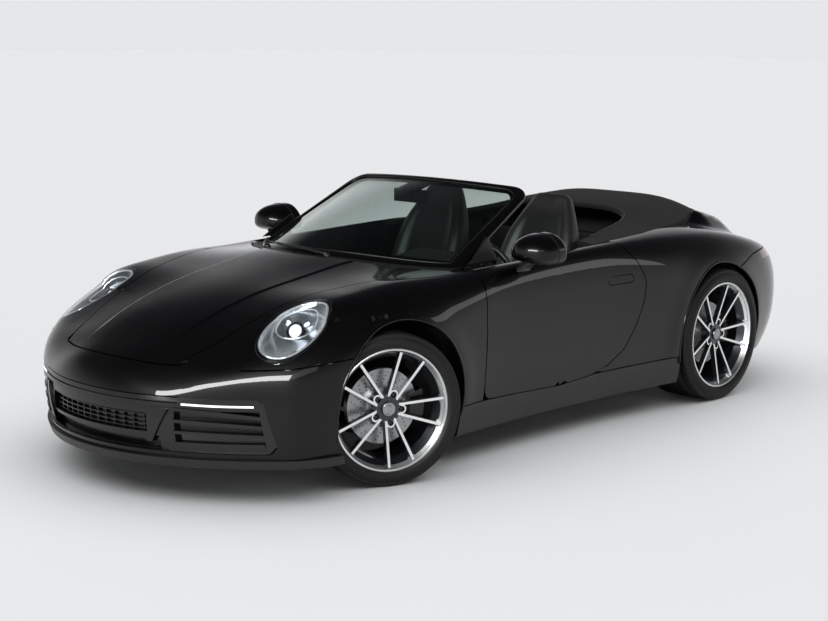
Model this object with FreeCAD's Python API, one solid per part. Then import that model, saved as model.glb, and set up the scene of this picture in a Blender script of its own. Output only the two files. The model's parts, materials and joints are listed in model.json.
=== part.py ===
# A two-plus-two sports convertible with its roof folded away, as separate pieces with joints.
# Millimetres. +X is the car's left, +Y points to its tail, +Z is up. The origin is on the
# ground, under the middle of the car.
import FreeCAD
import Part
import math
import os

Vector = FreeCAD.Vector

# Whole car
body_length = 4519.0
body_width = 1852.0
deck_height = 900.0
wheelbase = 2450.0
front_overhang = 1003.0
front_track = 1589.0
rear_track = 1557.0
steer_angle = 20.9
half_length = body_length / 2
half_width = body_width / 2
front_axle_y = front_overhang - half_length
rear_axle_y = front_axle_y + wheelbase

# Gaps and thicknesses
panel_gap = 6.0
panel_thickness = 14.0
lid_thickness = 18.0
seat_gap = 0.3
overrun = 60.0
cut_reach = 1200.0
same_place = 0.004
corner_share = 0.48

# Wheels and tyres
front_tyre_radius = 334.0
front_tyre_width = 245.0
front_rim_radius = 268.0
rear_tyre_radius = 351.0
rear_tyre_width = 305.0
rear_rim_radius = 281.0
tyre_shoulder = 26.0
tyre_shoulder_drop = 16.0
tyre_side_step = 6.0
tyre_bulge = 28.0
tyre_sides = 60
bead_gap = 0.9
bead_slope = 0.45
bead_width = 10.0
rim_depth = 14.0
rim_wall = 9.0
rim_bead = 12.0
rim_well = 22.0
rim_lip = 8.0
rim_slope = 16.0
rim_face = 60.0
rim_sides = 72
hub_radius = 62.0
hub_depth = 34.0
hub_inset = 38.0
rear_hub_inset = 43.0
cap_radius = 29.0
cap_depth = 9.0
cap_root = 5.0
bolt_circle = 65.0
bolt_radius = 14.0
bolt_pocket = 20.0
boss_wall = 7.0
spoke_pairs = 5
spoke_spread = 27.0
spoke_root_spread = 44.0
spoke_root_width = 15.0
spoke_tip_width = 17.0
spoke_depth = 26.0
spoke_face_share = 0.72
spoke_root_overlap = 8.0
spoke_tip_overlap = 2.0
spoke_tip_inset = 6.0
disc_radius = 165.0
disc_thickness = 34.0
disc_bell_radius = 88.0
disc_bell_wall = 10.0
disc_setback = 62.0
kingpin_offset = 60.0
kingpin_gap = 1.0

# Front hub carriers and brake calipers
carrier_inner = 110.0
carrier_outer_gap = 12.0
carrier_high = 150.0
carrier_foot = 60.0
carrier_head = 50.0
carrier_corner = 30.0
caliper_rise = 22.0
caliper_drop = 45.0
caliper_cover = 30.0
caliper_slot_rise = 6.0
caliper_slot_gap = 4.0
caliper_share = 0.8
bridge_thickness = 18.0
bridge_half = 40.0

# Arches and wheelhouses
front_arch_radius = 380.0
rear_arch_radius = 385.0
arch_flare = 8.0
flare_spread = 70.0
flare_margin = 15.0
liner_thickness = 5.0
liner_gap = 8.0
liner_outer_x = 840.0
liner_drop = 60.0
front_liner_inner = 478.0
rear_liner_inner = 585.0
arch_lip_width = 15.0
shaft_hole = 75.0

# Body form
widest_height = 520.0
sill_height = 140.0
sill_tuck = 42.0
crest_roll = 330.0
nose_blend = 150.0
tail_blend = 110.0
lean_power = 2.4
crest_power = 1.4
slope_step = 1.0
spine_x = 430.0
spine_z = 430.0
nose_turn_y = -1500.0
tail_turn_y = 1500.0
cast_reach = 1700.0
cast_steps = 26

# Doors
door_corner = 70.0
door_plate = 26.0
door_inset = 22.0
door_inner_x = 742.0
door_hinge_x = 846.0
door_hinge_y = -640.0
handle_y0 = 235.0
handle_y1 = 440.0
handle_z = 728.0
handle_height = 44.0
handle_depth = 16.0
handle_groove = 4.0

# Wings and quarters
wing_rear_y = -560.0
quarter_front_y = 96.0

# Bonnet, engine lid and rear deck
bonnet_front_share = -0.945
bonnet_corner_share = -0.909
bonnet_rear_share = -0.460
bonnet_rear_corner_share = -0.310
cowl_gap = 10.0
lid_width = 900.0
lid_front_y = 1600.0
lid_rear_y = 1900.0
slat_front_y = 1745.0
spoiler_width = 1130.0
spoiler_edge = 45.0
slat_count = 5
slat_first = 60.0
slat_pitch = 66.0
slat_slot = 40.0
slat_margin = 25.0

# Nose
fascia_corner = 28.0
fascia_depth = 44.0
fascia_back = 10.0
fascia_hold = 22.0
fascia_notch_x = 700.0
fascia_notch_y = -1880.0
fascia_notch_z = 424.0
bumper_low = 192.0
bumper_high = 590.0
lip_low = 152.0
lip_grow = 12.0
lip_thickness = 40.0
strip_low = 404.0
strip_ridge = 16.0
strip_ridges = 2
strip_pitch = 22.0
strip_depth = 3.0
strip_back = 24.0
running_low = 414.0
running_high = 422.0
running_depth = 6.0
running_first = 469.0
running_last = 718.0
louvre_count = 4
louvre_first = 436.0
louvre_last = 742.0
louvre_low = 252.0
louvre_high = 395.0
louvre_width = 13.0
louvre_drop = 26.0
louvre_depth = 4.0
vane_top_x = 405.0
vane_foot_x = 335.0
vane_width = 26.0
mesh_half = 322.0
mesh_low = 290.0
mesh_high = 369.0
mesh_bars = 13
mesh_rows = 4
mesh_bar = 4.0
mesh_depth = 30.0
duct_half = 374.0
duct_low = 218.0
duct_high = 276.0

# Headlamps
headlamp_x = 674.0
headlamp_y = -1682.0
headlamp_across = 130.0
headlamp_along = 197.0
headlamp_turn = 4.1
lamp_gap = 2.5
lens_thickness = 4.0
bowl_depth = 105.0
bowl_wall = 6.0
projector_radius = 40.0
projector_length = 60.0
projector_turn = math.radians(12)
projector_drop = 62.0
projector_margin = 12.0
lamp_axis = Vector(0.45, -0.45, 0.77)

# Tail
lamp_front_y = 1690.0
lamp_low = 708.0
lamp_high = 750.0
lamp_thickness = 26.0
rear_bumper_low = 210.0
diffuser_low = 165.0
diffuser_depth = 10.0
diffuser_thickness = 22.0
tail_zone = 500.0
tip_radius = 52.0
tip_wall = 3.0
tip_x = 300.0
tip_spacing = 118.0
tip_z = 285.0
tip_rear_y = 2205.0
silencer_half = 430.0
silencer_front_y = 1930.0
silencer_rear_y = 2035.0
silencer_low = 235.0
silencer_corner = 30.0

# Sills
sill_top = 286.0
sill_bottom = 142.0
sill_front_y = -880.0
sill_rear_y = 830.0
skirt_thickness = 18.0
skirt_flange_low = 170.0
skirt_flange_high = 200.0

# Windscreen
screen_base_x = 675.0
screen_base_y = -990.0
screen_base_sweep = 358.0
screen_head_x = 593.0
screen_head_y = -110.0
screen_head_z = 1205.0
screen_head_sweep = 83.0
screen_head_drop = 24.0
screen_crown = 26.0
frame_thickness = 34.0
glass_thickness = 5.0
glass_setback = 3.0
frame_side = 46.0
frame_head = 62.0
frame_foot = 30.0
frame_corner = 60.0
screen_side_share = 1.1
screen_foot_share = -0.2
dash_foot_share = -0.4
wiper_width = 14.0
wiper_low_share = 0.004
wiper_high_share = 0.022
wiper_pivot_radius = 16.0
wiper_pivot_height = 26.0
wiper_pivot_forward = 8.0
inside_mirror_half = 115.0
inside_mirror_low = 1085.0
inside_mirror_high = 1150.0
inside_mirror_y = -262.0
inside_mirror_depth = 26.0

# Roof cover behind the seats
cover_thickness = 24.0
cover_rim_depth = 62.0
cover_rim_width = 18.0
cover_rim_front_y = 1180.0
cover_inner_corner = 80.0
cover_power = 4
cover_half_x = 741.0
cover_grid_front_y = 294.0
cover_grid_rear_y = 1728.0
cover_side_share = 1.15

# Cabin and structure
floor_z = 150.0
floor_thickness = 16.0
tub_half = 640.0
tub_wall = 18.0
sill_box_outer = 722.0
sill_box_high = 400.0
post_outer = 727.0
post_rear_y = -700.0
post_high = 815.0
foot_post_outer = 664.0
foot_post_front_y = -645.0
foot_post_rear_y = -600.0
foot_post_low = 400.0
foot_post_high = 868.0
cowl_box_y = -1015.0
cowl_box_high = 820.0
cowl_box_low = 748.0
bracket_half = 90.0
firewall_y = -850.0
firewall_low = 470.0
toe_y = -640.0
heel_y = 480.0
pan_front_y = 540.0
pan_rear_y = 900.0
pan_z = 340.0
bulkhead_y = 1010.0
bulkhead_high = 830.0
side_trim_inner = 622.0
side_trim_low = 320.0
latch_post_y = 545.0
latch_post_depth = 18.0
tunnel_half = 110.0
tunnel_high = 420.0
bay_half = 440.0
bay_front_y = -1930.0
bay_rear_y = -1240.0
bay_low = 330.0
bay_high = 700.0
bay_lid_gap = 12.0
link_low = 470.0
link_high = 620.0
nose_beam_low = 470.0
nose_beam_high = 510.0
rail_x = 380.0
rail_half = 45.0
rail_low = 330.0
rail_high = 430.0
rail_front_y = 890.0
rail_rear_y = 2020.0
hook_low = 395.0
spoiler_post_half = 20.0
spoiler_post_front_y = 1945.0
spoiler_post_rear_y = 1975.0

# Cabin fittings
dash_gap = 5.0
hood_half = 190.0
console_half = 100.0
dash_corner = 30.0
wheel_x = 370.0
wheel_y = -90.0
wheel_z = 752.0
wheel_radius = 180.0
wheel_grip = 15.0
wheel_tilt = 22.0
wheel_hub_radius = 58.0
wheel_hub_depth = 42.0
wheel_hub_back = 26.0
wheel_spoke_half = 16.0
wheel_spoke_depth = 16.0
column_radius = 26.0
column_length = 120.0
cowling_radius = 44.0
cowling_length = 190.0
column_gap = 1.0
seat_x = 370.0
seat_half = 245.0
seat_corner = 45.0
seat_base_half = 200.0
rear_seat_x = 320.0
rear_seat_half = 195.0
rear_seat_corner = 30.0

# Engine and suspension
engine_half = 334.7
engine_front_y = 1300.0
engine_rear_y = 1900.0
engine_low = 300.0
engine_high = 720.0
front_beam_half = 360.0
front_beam_reach = 150.0
front_beam_low = 210.0
front_beam_high = 270.0
front_arm_low = 195.0
front_arm_high = 224.0
front_arm_root = 140.0
front_arm_tip = 30.0
front_arm_inner = 340.0
front_post_half = 60.0
rear_beam_half = 400.0
rear_beam_reach = 115.0
rear_beam_low = 230.0
rear_arm_low = 225.0
rear_arm_high = 260.0
rear_arm_inner = 380.0
rear_arm_outer = 640.0
rear_arm_root = 110.0
rear_arm_tip = 40.0
rear_carrier_inner = 600.0
rear_carrier_outer = 655.0
rear_carrier_half = 65.0
rear_carrier_low = 240.0
rear_carrier_high = 470.0
shaft_radius = 34.0
shaft_inner = 440.0

# Door mirrors
mirror_front_y = -440.0
mirror_rear_y = -300.0
mirror_corner = 26.0
mirror_foot_front_y = -430.0
mirror_foot_rear_y = -345.0


class Curve:
    """A natural cubic spline through (place share, value share) pairs, in real sizes."""

    def __init__(self, shares, place_size, value_size):
        self.place = [pair[0] * place_size for pair in shares]
        self.value = [pair[1] * value_size for pair in shares]
        last = len(shares) - 1
        self.step = [self.place[i + 1] - self.place[i] for i in range(last)]
        rise = [(self.value[i + 1] - self.value[i]) / self.step[i] for i in range(last)]
        weight = [0.0] * (last + 1)
        pull = [0.0] * (last + 1)
        for i in range(1, last):
            size = 2 * (self.step[i - 1] + self.step[i]) - self.step[i - 1] * weight[i - 1]
            weight[i] = self.step[i] / size
            pull[i] = (6 * (rise[i] - rise[i - 1]) - self.step[i - 1] * pull[i - 1]) / size
        self.bend = [0.0] * (last + 1)
        for i in range(last - 1, 0, -1):
            self.bend[i] = pull[i] - weight[i] * self.bend[i + 1]

    def __call__(self, place):
        place = min(max(place, self.place[0]), self.place[-1])
        i = 0
        while place > self.place[i + 1]:
            i += 1
        step = self.step[i]
        after = self.place[i + 1] - place
        before = place - self.place[i]
        cubic = self.bend[i] * after ** 3 + self.bend[i + 1] * before ** 3
        start = self.value[i] / step - self.bend[i] * step / 6
        end = self.value[i + 1] / step - self.bend[i + 1] * step / 6
        return cubic / (6 * step) + start * after + end * before


# The body's outer form: places along the car in half lengths, heights in deck heights,
# places across in half widths
centre_shares = [(-1.02, 0.45), (-1.0, 0.505), (-0.97, 0.589), (-0.94, 0.638), (-0.90, 0.686),
                 (-0.84, 0.758), (-0.79, 0.806), (-0.75, 0.837), (-0.66, 0.892), (-0.60, 0.921),
                 (-0.52, 0.959), (-0.44, 0.996), (-0.37, 1.012), (-0.28, 1.012), (-0.13, 1.005),
                 (0.13, 1.02), (0.40, 1.06), (0.62, 1.083), (0.71, 1.046), (0.80, 0.988),
                 (0.885, 0.918), (0.94, 0.868), (1.02, 0.78)]
crest_shares = [(-1.02, 0.33), (-0.94, 0.52), (-0.907, 0.605), (-0.861, 0.670), (-0.822, 0.722),
                (-0.76, 0.800), (-0.70, 0.864), (-0.645, 0.902), (-0.59, 0.921), (-0.523, 0.940),
                (-0.45, 0.948), (-0.376, 0.948), (-0.28, 0.954), (-0.13, 0.966),
                (0.0, 0.980), (0.18, 0.998), (0.31, 1.009), (0.44, 1.013), (0.575, 0.995),
                (0.71, 0.940), (0.80, 0.883), (0.885, 0.822), (0.94, 0.778), (1.02, 0.70)]
crest_place_shares = [(-1.02, 0.64), (-0.84, 0.70), (-0.66, 0.745), (-0.556, 0.756), (-0.32, 0.794),
                      (0.0, 0.832), (0.27, 0.832), (0.53, 0.80), (0.71, 0.756), (1.02, 0.67)]
valley_shares = [(-1.02, 0.0), (-0.84, 0.003), (-0.66, 0.006), (-0.44, 0.005), (-0.31, 0.003),
                 (0.0, 0.0), (0.62, 0.007), (0.80, 0.011), (1.02, 0.004)]
width_shares = [(-1.02, 0.977), (-0.75, 0.994), (-0.556, 1.0), (-0.40, 0.987), (-0.265, 0.964),
                (-0.09, 0.951), (0.09, 0.954), (0.22, 0.969), (0.35, 0.991), (0.487, 1.0),
                (0.62, 1.0), (0.75, 0.985), (0.885, 0.948), (1.02, 0.89)]
lean_shares = [(-1.02, 0.194), (-0.75, 0.130), (-0.556, 0.103), (-0.31, 0.099), (-0.09, 0.095),
               (0.18, 0.095), (0.40, 0.108), (0.62, 0.130), (1.02, 0.184)]
shoulder_shares = [(-1.02, 0.26), (-0.75, 0.26), (-0.556, 0.248), (-0.40, 0.184), (-0.265, 0.108),
                   (0.0, 0.076), (0.13, 0.097), (0.31, 0.205), (0.53, 0.302), (0.75, 0.281),
                   (1.02, 0.216)]
front_bow_half_shares = [(0.0, 0.0), (0.216, 0.0097), (0.432, 0.0407), (0.54, 0.0646),
                         (0.648, 0.094), (0.756, 0.131), (0.842, 0.164), (0.94, 0.217),
                         (1.0, 0.283), (1.08, 0.398)]
rear_bow_half_shares = [(0.0, 0.0), (0.324, 0.0115), (0.54, 0.0398), (0.756, 0.0996),
                        (0.842, 0.146), (0.929, 0.221), (1.0, 0.319), (1.08, 0.443)]
front_lean_shares = [(0.11, 0.031), (0.22, 0.0133), (0.333, 0.0035), (0.478, 0.0), (0.567, 0.0035),
                     (0.644, 0.0177), (0.711, 0.0443), (0.822, 0.115)]
rear_lean_shares = [(0.11, 0.115), (0.222, 0.0664), (0.333, 0.0266), (0.467, 0.0035), (0.578, 0.0),
                    (0.667, 0.0044), (0.778, 0.0212), (0.867, 0.0398), (0.944, 0.0553),
                    (1.056, 0.0797)]


def both_ways(half_shares):
    """The shares of a symmetric curve, from its right half."""
    left = [(-place, value) for place, value in reversed(half_shares[1:])]
    return left + half_shares


centre_height = Curve(centre_shares, half_length, deck_height)
crest_height = Curve(crest_shares, half_length, deck_height)
crest_place = Curve(crest_place_shares, half_length, half_width)
valley_depth = Curve(valley_shares, half_length, deck_height)
width_at = Curve(width_shares, half_length, half_width)
lean_at = Curve(lean_shares, half_length, half_width)
shoulder_at = Curve(shoulder_shares, half_length, half_width)
front_bow = Curve(both_ways(front_bow_half_shares), half_width, half_length)
rear_bow = Curve(both_ways(rear_bow_half_shares), half_width, half_length)
front_lean = Curve(front_lean_shares, deck_height, half_length)
rear_lean = Curve(rear_lean_shares, deck_height, half_length)


def smooth_max(a, b, reach):
    near = max(reach - abs(a - b), 0.0) / reach
    return max(a, b) + near ** 3 * reach / 6


def deck_top(x, y):
    """Height of bonnet, wings and deck before their edges are rounded."""
    crest = crest_place(y)
    out = 0.5 - 0.5 * math.cos(math.pi * min(abs(x), crest) / crest)
    blend = out ** crest_power
    z = centre_height(y) * (1 - blend) + crest_height(y) * blend - valley_depth(y) * 4 * out * (1 - out)
    if abs(x) > crest:
        z -= (abs(x) - crest) ** 2 / (2 * crest_roll)
    return z


def side_reach(y, z):
    """Half width of the body's side, with a faint flare round each wheel."""
    if z > widest_height:
        inset = lean_at(y) * ((z - widest_height) / (deck_height - widest_height)) ** lean_power
    else:
        inset = sill_tuck * ((widest_height - z) / (widest_height - sill_height)) ** lean_power
    reach = width_at(y) - inset
    for axle_y, axle_z, radius in ((front_axle_y, front_tyre_radius, front_arch_radius),
                                   (rear_axle_y, rear_tyre_radius, rear_arch_radius)):
        away = math.hypot(y - axle_y, z - axle_z) - radius - flare_margin
        reach += arch_flare * math.exp(-(away / flare_spread) ** 2)
    return reach


def body_gap(x, y, z):
    """Distance from the body's outer form, below zero inside it."""
    top = deck_top(x, y)
    across = (deck_top(x + slope_step, y) - top) / slope_step
    along = (deck_top(x, y + slope_step) - top) / slope_step
    above = (z - top) / math.sqrt(1 + across ** 2 + along ** 2)
    beside = abs(x) - side_reach(y, z)
    bow = (front_bow(x + slope_step) - front_bow(x)) / slope_step
    lean = (front_lean(z + slope_step) - front_lean(z)) / slope_step
    ahead = (front_bow(x) + front_lean(z) - half_length - y) / math.sqrt(1 + bow ** 2 + lean ** 2)
    bow = (rear_bow(x + slope_step) - rear_bow(x)) / slope_step
    lean = (rear_lean(z + slope_step) - rear_lean(z)) / slope_step
    behind = (y - half_length + rear_bow(x) + rear_lean(z)) / math.sqrt(1 + bow ** 2 + lean ** 2)
    gap = smooth_max(above, beside, shoulder_at(y))
    gap = smooth_max(gap, ahead, nose_blend)
    return smooth_max(gap, behind, tail_blend)


def skin_point(start, direction):
    """Where a ray from inside the body meets its outer form."""
    low, high = 0.0, cast_reach
    for _ in range(cast_steps):
        middle = (low + high) / 2
        point = start + direction * middle
        if body_gap(point.x, point.y, point.z) < 0:
            low = middle
        else:
            high = middle
    return start + direction * low


def skin_normal(point):
    here = body_gap(point.x, point.y, point.z)
    normal = Vector(body_gap(point.x + slope_step, point.y, point.z) - here,
                    body_gap(point.x, point.y + slope_step, point.z) - here,
                    body_gap(point.x, point.y, point.z + slope_step) - here)
    return normal.normalize()


def spread(first, last, count):
    return [first + (last - first) * i / (count - 1) for i in range(count)]


class Skin:
    """A grid of points on the outer form, with the place inside it that each ray left."""

    def __init__(self, starts, directions):
        self.starts = starts
        self.rows = [[skin_point(start, direction) for start, direction in zip(start_row, direction_row)]
                     for start_row, direction_row in zip(starts, directions)]
        self.normals = [[skin_normal(point) for point in row] for row in self.rows]

    def sunk(self, depth):
        return [[point - normal * depth for point, normal in zip(row, normal_row)]
                for row, normal_row in zip(self.rows, self.normals)]

    def panel(self, thickness, depth=0.0):
        """A shell of even thickness, its outer face sunk below the form by a depth."""
        return between(self.sunk(depth), self.sunk(depth + thickness))

    def core(self, depth):
        """The space from a depth below the form to half way back along the rays."""
        inner = [[(point + start) * 0.5 for point, start in zip(row, start_row)]
                 for row, start_row in zip(self.rows, self.starts)]
        return between(self.sunk(depth), inner)

    def above(self, depth):
        """Everything from a depth below the form to well above it."""
        lift = Vector(0, 0, cut_reach / 4)
        return between([[point + lift for point in row] for row in self.rows], self.sunk(depth))


def side_skin(stations, angles):
    """Rays out of a line inside the left flank, turned from below level to straight up.

    A station is a place along the car and the tilt of its rays to the tail or, below zero, the nose.
    """
    starts, directions = [], []
    for y, tilt in stations:
        lean = math.radians(tilt)
        turns = [math.radians(angle) for angle in angles]
        starts.append([Vector(spine_x, y, spine_z)] * len(turns))
        directions.append([Vector(math.cos(t) * math.cos(lean), math.sin(lean), math.sin(t) * math.cos(lean))
                           for t in turns])
    return Skin(starts, directions)


def level(places):
    return [(y, 0.0) for y in places]


def fan_skin(turn_y, facing, rises, angles):
    """Rays out of one point inside the nose or tail, fanned up and down and to both sides."""
    starts, directions = [], []
    for rise in rises:
        up = math.radians(rise)
        turns = [math.radians(angle) for angle in angles]
        starts.append([Vector(0, turn_y, spine_z)] * len(turns))
        directions.append([Vector(math.sin(t) * math.cos(up), facing * math.cos(t) * math.cos(up), math.sin(up))
                           for t in turns])
    return Skin(starts, directions)


def ring_skin(turn_y, facing, heights, angles):
    """Level rays out of an upright line inside the nose or tail."""
    starts, directions = [], []
    for z in heights:
        turns = [math.radians(angle) for angle in angles]
        starts.append([Vector(0, turn_y, z)] * len(turns))
        directions.append([Vector(math.sin(t), facing * math.cos(t), 0) for t in turns])
    return Skin(starts, directions)


def deck_skin(places):
    """Upright rays at rows of (x, y) places."""
    starts = [[Vector(x, y, spine_z) for x, y in row] for row in places]
    return Skin(starts, [[Vector(0, 0, 1)] * len(row) for row in places])


def plan_grid(half, front_y, rear_y, columns, rows):
    """A rectangle of plan places, the same width to both sides."""
    return [[(x, y) for x in spread(-half, half, columns)] for y in spread(front_y, rear_y, rows)]


# Solids from grids and outlines
def sheet(rows):
    surface = Part.BSplineSurface()
    surface.interpolate(rows)
    return surface.toShape()


def one_solid(shape):
    solids = shape.Solids
    solids.sort(key=lambda solid: solid.Volume, reverse=True)
    return solids[0]


def between(outer_rows, inner_rows):
    """The closed solid between two grids that face each other."""
    outer, inner = sheet(outer_rows), sheet(inner_rows)
    faces = [outer, inner]
    for outer_edge, inner_edge in zip(outer.Edges, inner.Edges):
        faces.append(Part.makeRuledSurface(outer_edge, inner_edge))
    shell = Part.Shell(faces)
    shell.sewShape()
    solid = Part.Solid(shell)
    if solid.Volume < 0:
        solid.reverse()
    return solid


def outline_wire(points, radius):
    """Straight runs joined by tangent arcs, each as large as its runs allow."""
    edges = []
    starts, ends = [], []
    count = len(points)
    for i, point in enumerate(points):
        back = points[i - 1] - point
        onward = points[(i + 1) % count] - point
        turn = math.pi - back.getAngle(onward)
        if radius and turn > 0:
            room = corner_share * min(back.Length, onward.Length)
            cut = min(radius * math.tan(turn / 2), room)
        else:
            cut = 0.0
        back.normalize()
        onward.normalize()
        start, end = point + back * cut, point + onward * cut
        starts.append(start)
        ends.append(end)
        if cut > 0:
            chord = (start + end) * 0.5
            arc_radius = cut / math.tan(turn / 2)
            inward = (back + onward).normalize()
            centre = point + inward * (arc_radius / math.cos(turn / 2))
            edges.append(Part.Arc(start, centre + (chord - centre).normalize() * arc_radius, end).toShape())
    runs = []
    for i in range(count):
        here, there = ends[i], starts[(i + 1) % count]
        if (there - here).Length > same_place:
            runs.append(Part.makeLine(here, there))
    return Part.Wire(Part.__sortEdges__(edges + runs))


def prism(outline, plane, start, end, radius=0.0, grow=0.0):
    """An outline in a side, plan or front view, grown all round, carried from start to end across it."""
    if plane == "side":
        points = [Vector(start, a, b) for a, b in outline]
        way = Vector(end - start, 0, 0)
    elif plane == "plan":
        points = [Vector(a, b, start) for a, b in outline]
        way = Vector(0, 0, end - start)
    else:
        points = [Vector(a, start, b) for a, b in outline]
        way = Vector(0, end - start, 0)
    wire = outline_wire(points, radius)
    if grow:
        wire = wire.makeOffset2D(grow)
    return Part.Face(wire).extrude(way)


def block(x0, x1, y0, y1, z0, z1):
    return Part.makeBox(x1 - x0, y1 - y0, z1 - z0, Vector(x0, y0, z0))


def mirrored(shape):
    return shape.mirror(Vector(0, 0, 0), Vector(1, 0, 0))


def pair(shapes):
    return shapes + [mirrored(shape) for shape in shapes]


def in_sizes(shares, size_a, size_b):
    return [(a * size_a, b * size_b) for a, b in shares]


def save(name, shapes):
    solids = []
    for shape in shapes:
        solids.extend(shape.Solids)
    for solid in solids:
        if not solid.isValid() or solid.Volume <= 0:
            print("bad solid in", name, solid.isValid(), solid.Volume)
    whole = solids[0] if len(solids) == 1 else Part.makeCompound(solids)
    whole.exportStep("parts/" + name + ".step")
    box = whole.BoundBox
    print(name, len(solids), [round(v) for v in (box.XMin, box.YMin, box.ZMin, box.XMax, box.YMax, box.ZMax)])


# Panel lines. Side views in (half length, deck height), plans in (half width, half length)
door_shares = [(-0.288, 1.10), (-0.291, 0.95), (-0.309, 0.72), (-0.315, 0.42), (-0.311, 0.318),
               (-0.19, 0.309), (-0.058, 0.297), (0.046, 0.312), (0.105, 0.350), (0.155, 0.420),
               (0.194, 0.543), (0.222, 0.677), (0.2346, 0.785), (0.219, 0.885), (0.186, 0.985),
               (0.184, 1.10)]
hinge_sweep_shares = [(0.0, 0.0), (1.0, 0.0), (1.0, 0.62), (0.86, 0.72), (0.50, 0.85), (0.34, 0.96),
                      (0.34, 1.10), (0.0, 1.10)]
hinge_sweep_radius = 88.0
bumper_top_shares = [(-1.10, 0.618), (-0.894, 0.622), (-0.864, 0.626), (-0.804, 0.634),
                     (-0.755, 0.646), (-0.66, 0.668), (-0.66, 0.0), (-1.10, 0.0)]
rear_bumper_shares = [(1.10, 0.840), (0.748, 0.840), (0.70, 0.832), (0.60, 0.775), (0.555, 0.70),
                      (0.555, 0.0), (1.10, 0.0)]
bonnet_side_shares = [(-0.909, 0.414), (-0.881, 0.441), (-0.850, 0.462), (-0.813, 0.486),
                      (-0.759, 0.512), (-0.691, 0.549), (-0.626, 0.594), (-0.545, 0.656),
                      (-0.465, 0.708), (-0.38, 0.742), (-0.31, 0.755), (-0.28, 0.757)]
cabin_shares = [(0.0, 0.10), (0.775, 0.10), (0.775, 0.149), (0.762, 0.241), (0.737, 0.336),
                (0.705, 0.390), (0.652, 0.511), (0.590, 0.600), (0.520, 0.668), (0.410, 0.715),
                (0.215, 0.742), (0.0, 0.750)]
fascia_shares = [(-0.806, 0.497), (0.806, 0.497), (0.845, 0.275), (0.820, 0.238), (-0.820, 0.238),
                 (-0.845, 0.275)]
blade_shares = [(0.790, 0.487), (0.836, 0.487), (0.846, 0.287), (0.812, 0.243), (0.800, 0.247),
                (0.806, 0.290)]
diffuser_shares = [(-0.52, 0.43), (0.52, 0.43), (0.62, 0.20), (-0.62, 0.20)]

door_outline = in_sizes(door_shares, half_length, deck_height)
bumper_top = in_sizes(bumper_top_shares, half_length, deck_height)
rear_bumper_line = in_sizes(rear_bumper_shares, half_length, deck_height)
cabin_outline = in_sizes(cabin_shares, half_width, half_length)
fascia_outline = in_sizes(fascia_shares, half_width, deck_height)
blade_outline = in_sizes(blade_shares, half_width, deck_height)
diffuser_outline = in_sizes(diffuser_shares, half_width, deck_height)
bonnet_side = Curve(bonnet_side_shares, half_length, half_width)
bonnet_front_y = bonnet_front_share * half_length
bonnet_corner_y = bonnet_corner_share * half_length
bonnet_rear_y = bonnet_rear_share * half_length
bonnet_rear_corner_y = bonnet_rear_corner_share * half_length
nose_half = bonnet_side(bonnet_corner_y)
bonnet_rear_half = bonnet_side(bonnet_rear_corner_y)


def whole_plan(half_outline):
    """A half plan outline with its mirror image."""
    return half_outline + [(-x, y) for x, y in reversed(half_outline) if x > 0]


def bonnet_places(rows, columns):
    """Plan places of the bonnet, in rows from its front edge back, side to side."""
    places = []
    for i in range(rows):
        t = i / (rows - 1)
        side_y = bonnet_corner_y + t * (bonnet_rear_corner_y - bonnet_corner_y)
        middle_y = bonnet_front_y + t * (bonnet_rear_y - bonnet_front_y)
        half = bonnet_side(side_y)
        places.append([(u * half, side_y * u * u + middle_y * (1 - u * u)) for u in spread(-1, 1, columns)])
    return places


def bonnet_zone(margin):
    """The upright space over the bonnet, grown by a margin."""
    rows = bonnet_places(19, 19)
    right = [row[0] for row in rows[1:-1]]
    left = [row[-1] for row in rows[1:-1]]
    outline = rows[0] + left + list(reversed(rows[-1])) + list(reversed(right))
    return prism(outline, "plan", spine_z, cut_reach, 0.0, margin)


def arch_cut(axle_y, radius_z, radius):
    """A cylinder through the whole car about an axle."""
    return Part.makeCylinder(radius, 2 * cut_reach, Vector(-cut_reach, axle_y, radius_z), Vector(1, 0, 0))


front_arch = arch_cut(front_axle_y, front_tyre_radius, front_arch_radius)
rear_arch = arch_cut(rear_axle_y, rear_tyre_radius, rear_arch_radius)


def arch_lip(arch, axle_y, axle_z, radius):
    """The rolled-in edge of the wing round the wheel, out from the wheelhouse liner."""
    lip = arch_cut(axle_y, axle_z, radius + arch_lip_width).cut(arch)
    return lip.common(block(liner_outer_x + seat_gap, cut_reach, -half_length, half_length,
                            axle_z - liner_drop, cut_reach))


# The outer form, gridded once for each panel
wing_form = side_skin([(nose_turn_y, tilt) for tilt in spread(-78, -9, 10)]
                      + level(spread(nose_turn_y, wing_rear_y, 9)), spread(-32, 12, 5) + spread(24, 98, 12))
door_form = side_skin(level(spread(-0.33 * half_length, 0.255 * half_length, 8)),
                      spread(-26, 28, 5) + spread(42, 74, 9))
quarter_form = side_skin(level(spread(quarter_front_y, tail_turn_y, 9))
                         + [(tail_turn_y, tilt) for tilt in spread(9, 72, 8)], spread(-32, 7, 4) + spread(20, 100, 12))
bonnet_form = deck_skin(bonnet_places(12, 11))
nose_form = fan_skin(nose_turn_y, -1, spread(-24, 20, 10), spread(-92, 92, 25))
tail_form = fan_skin(tail_turn_y, 1, spread(-20, 34, 11),
                     spread(-104, -84, 6) + spread(-76, 76, 20) + spread(84, 104, 6))
lid_form = deck_skin(plan_grid(lid_width / 2 + panel_thickness, lid_front_y - overrun, lid_rear_y + overrun, 7, 6))
skirt_form = side_skin(level(spread(-0.40 * half_length, 0.38 * half_length, 9)), spread(-40, -14, 4))
bay_form = deck_skin(plan_grid(bay_half + overrun, bay_front_y - overrun, bay_rear_y + overrun, 7, 6))


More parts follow.
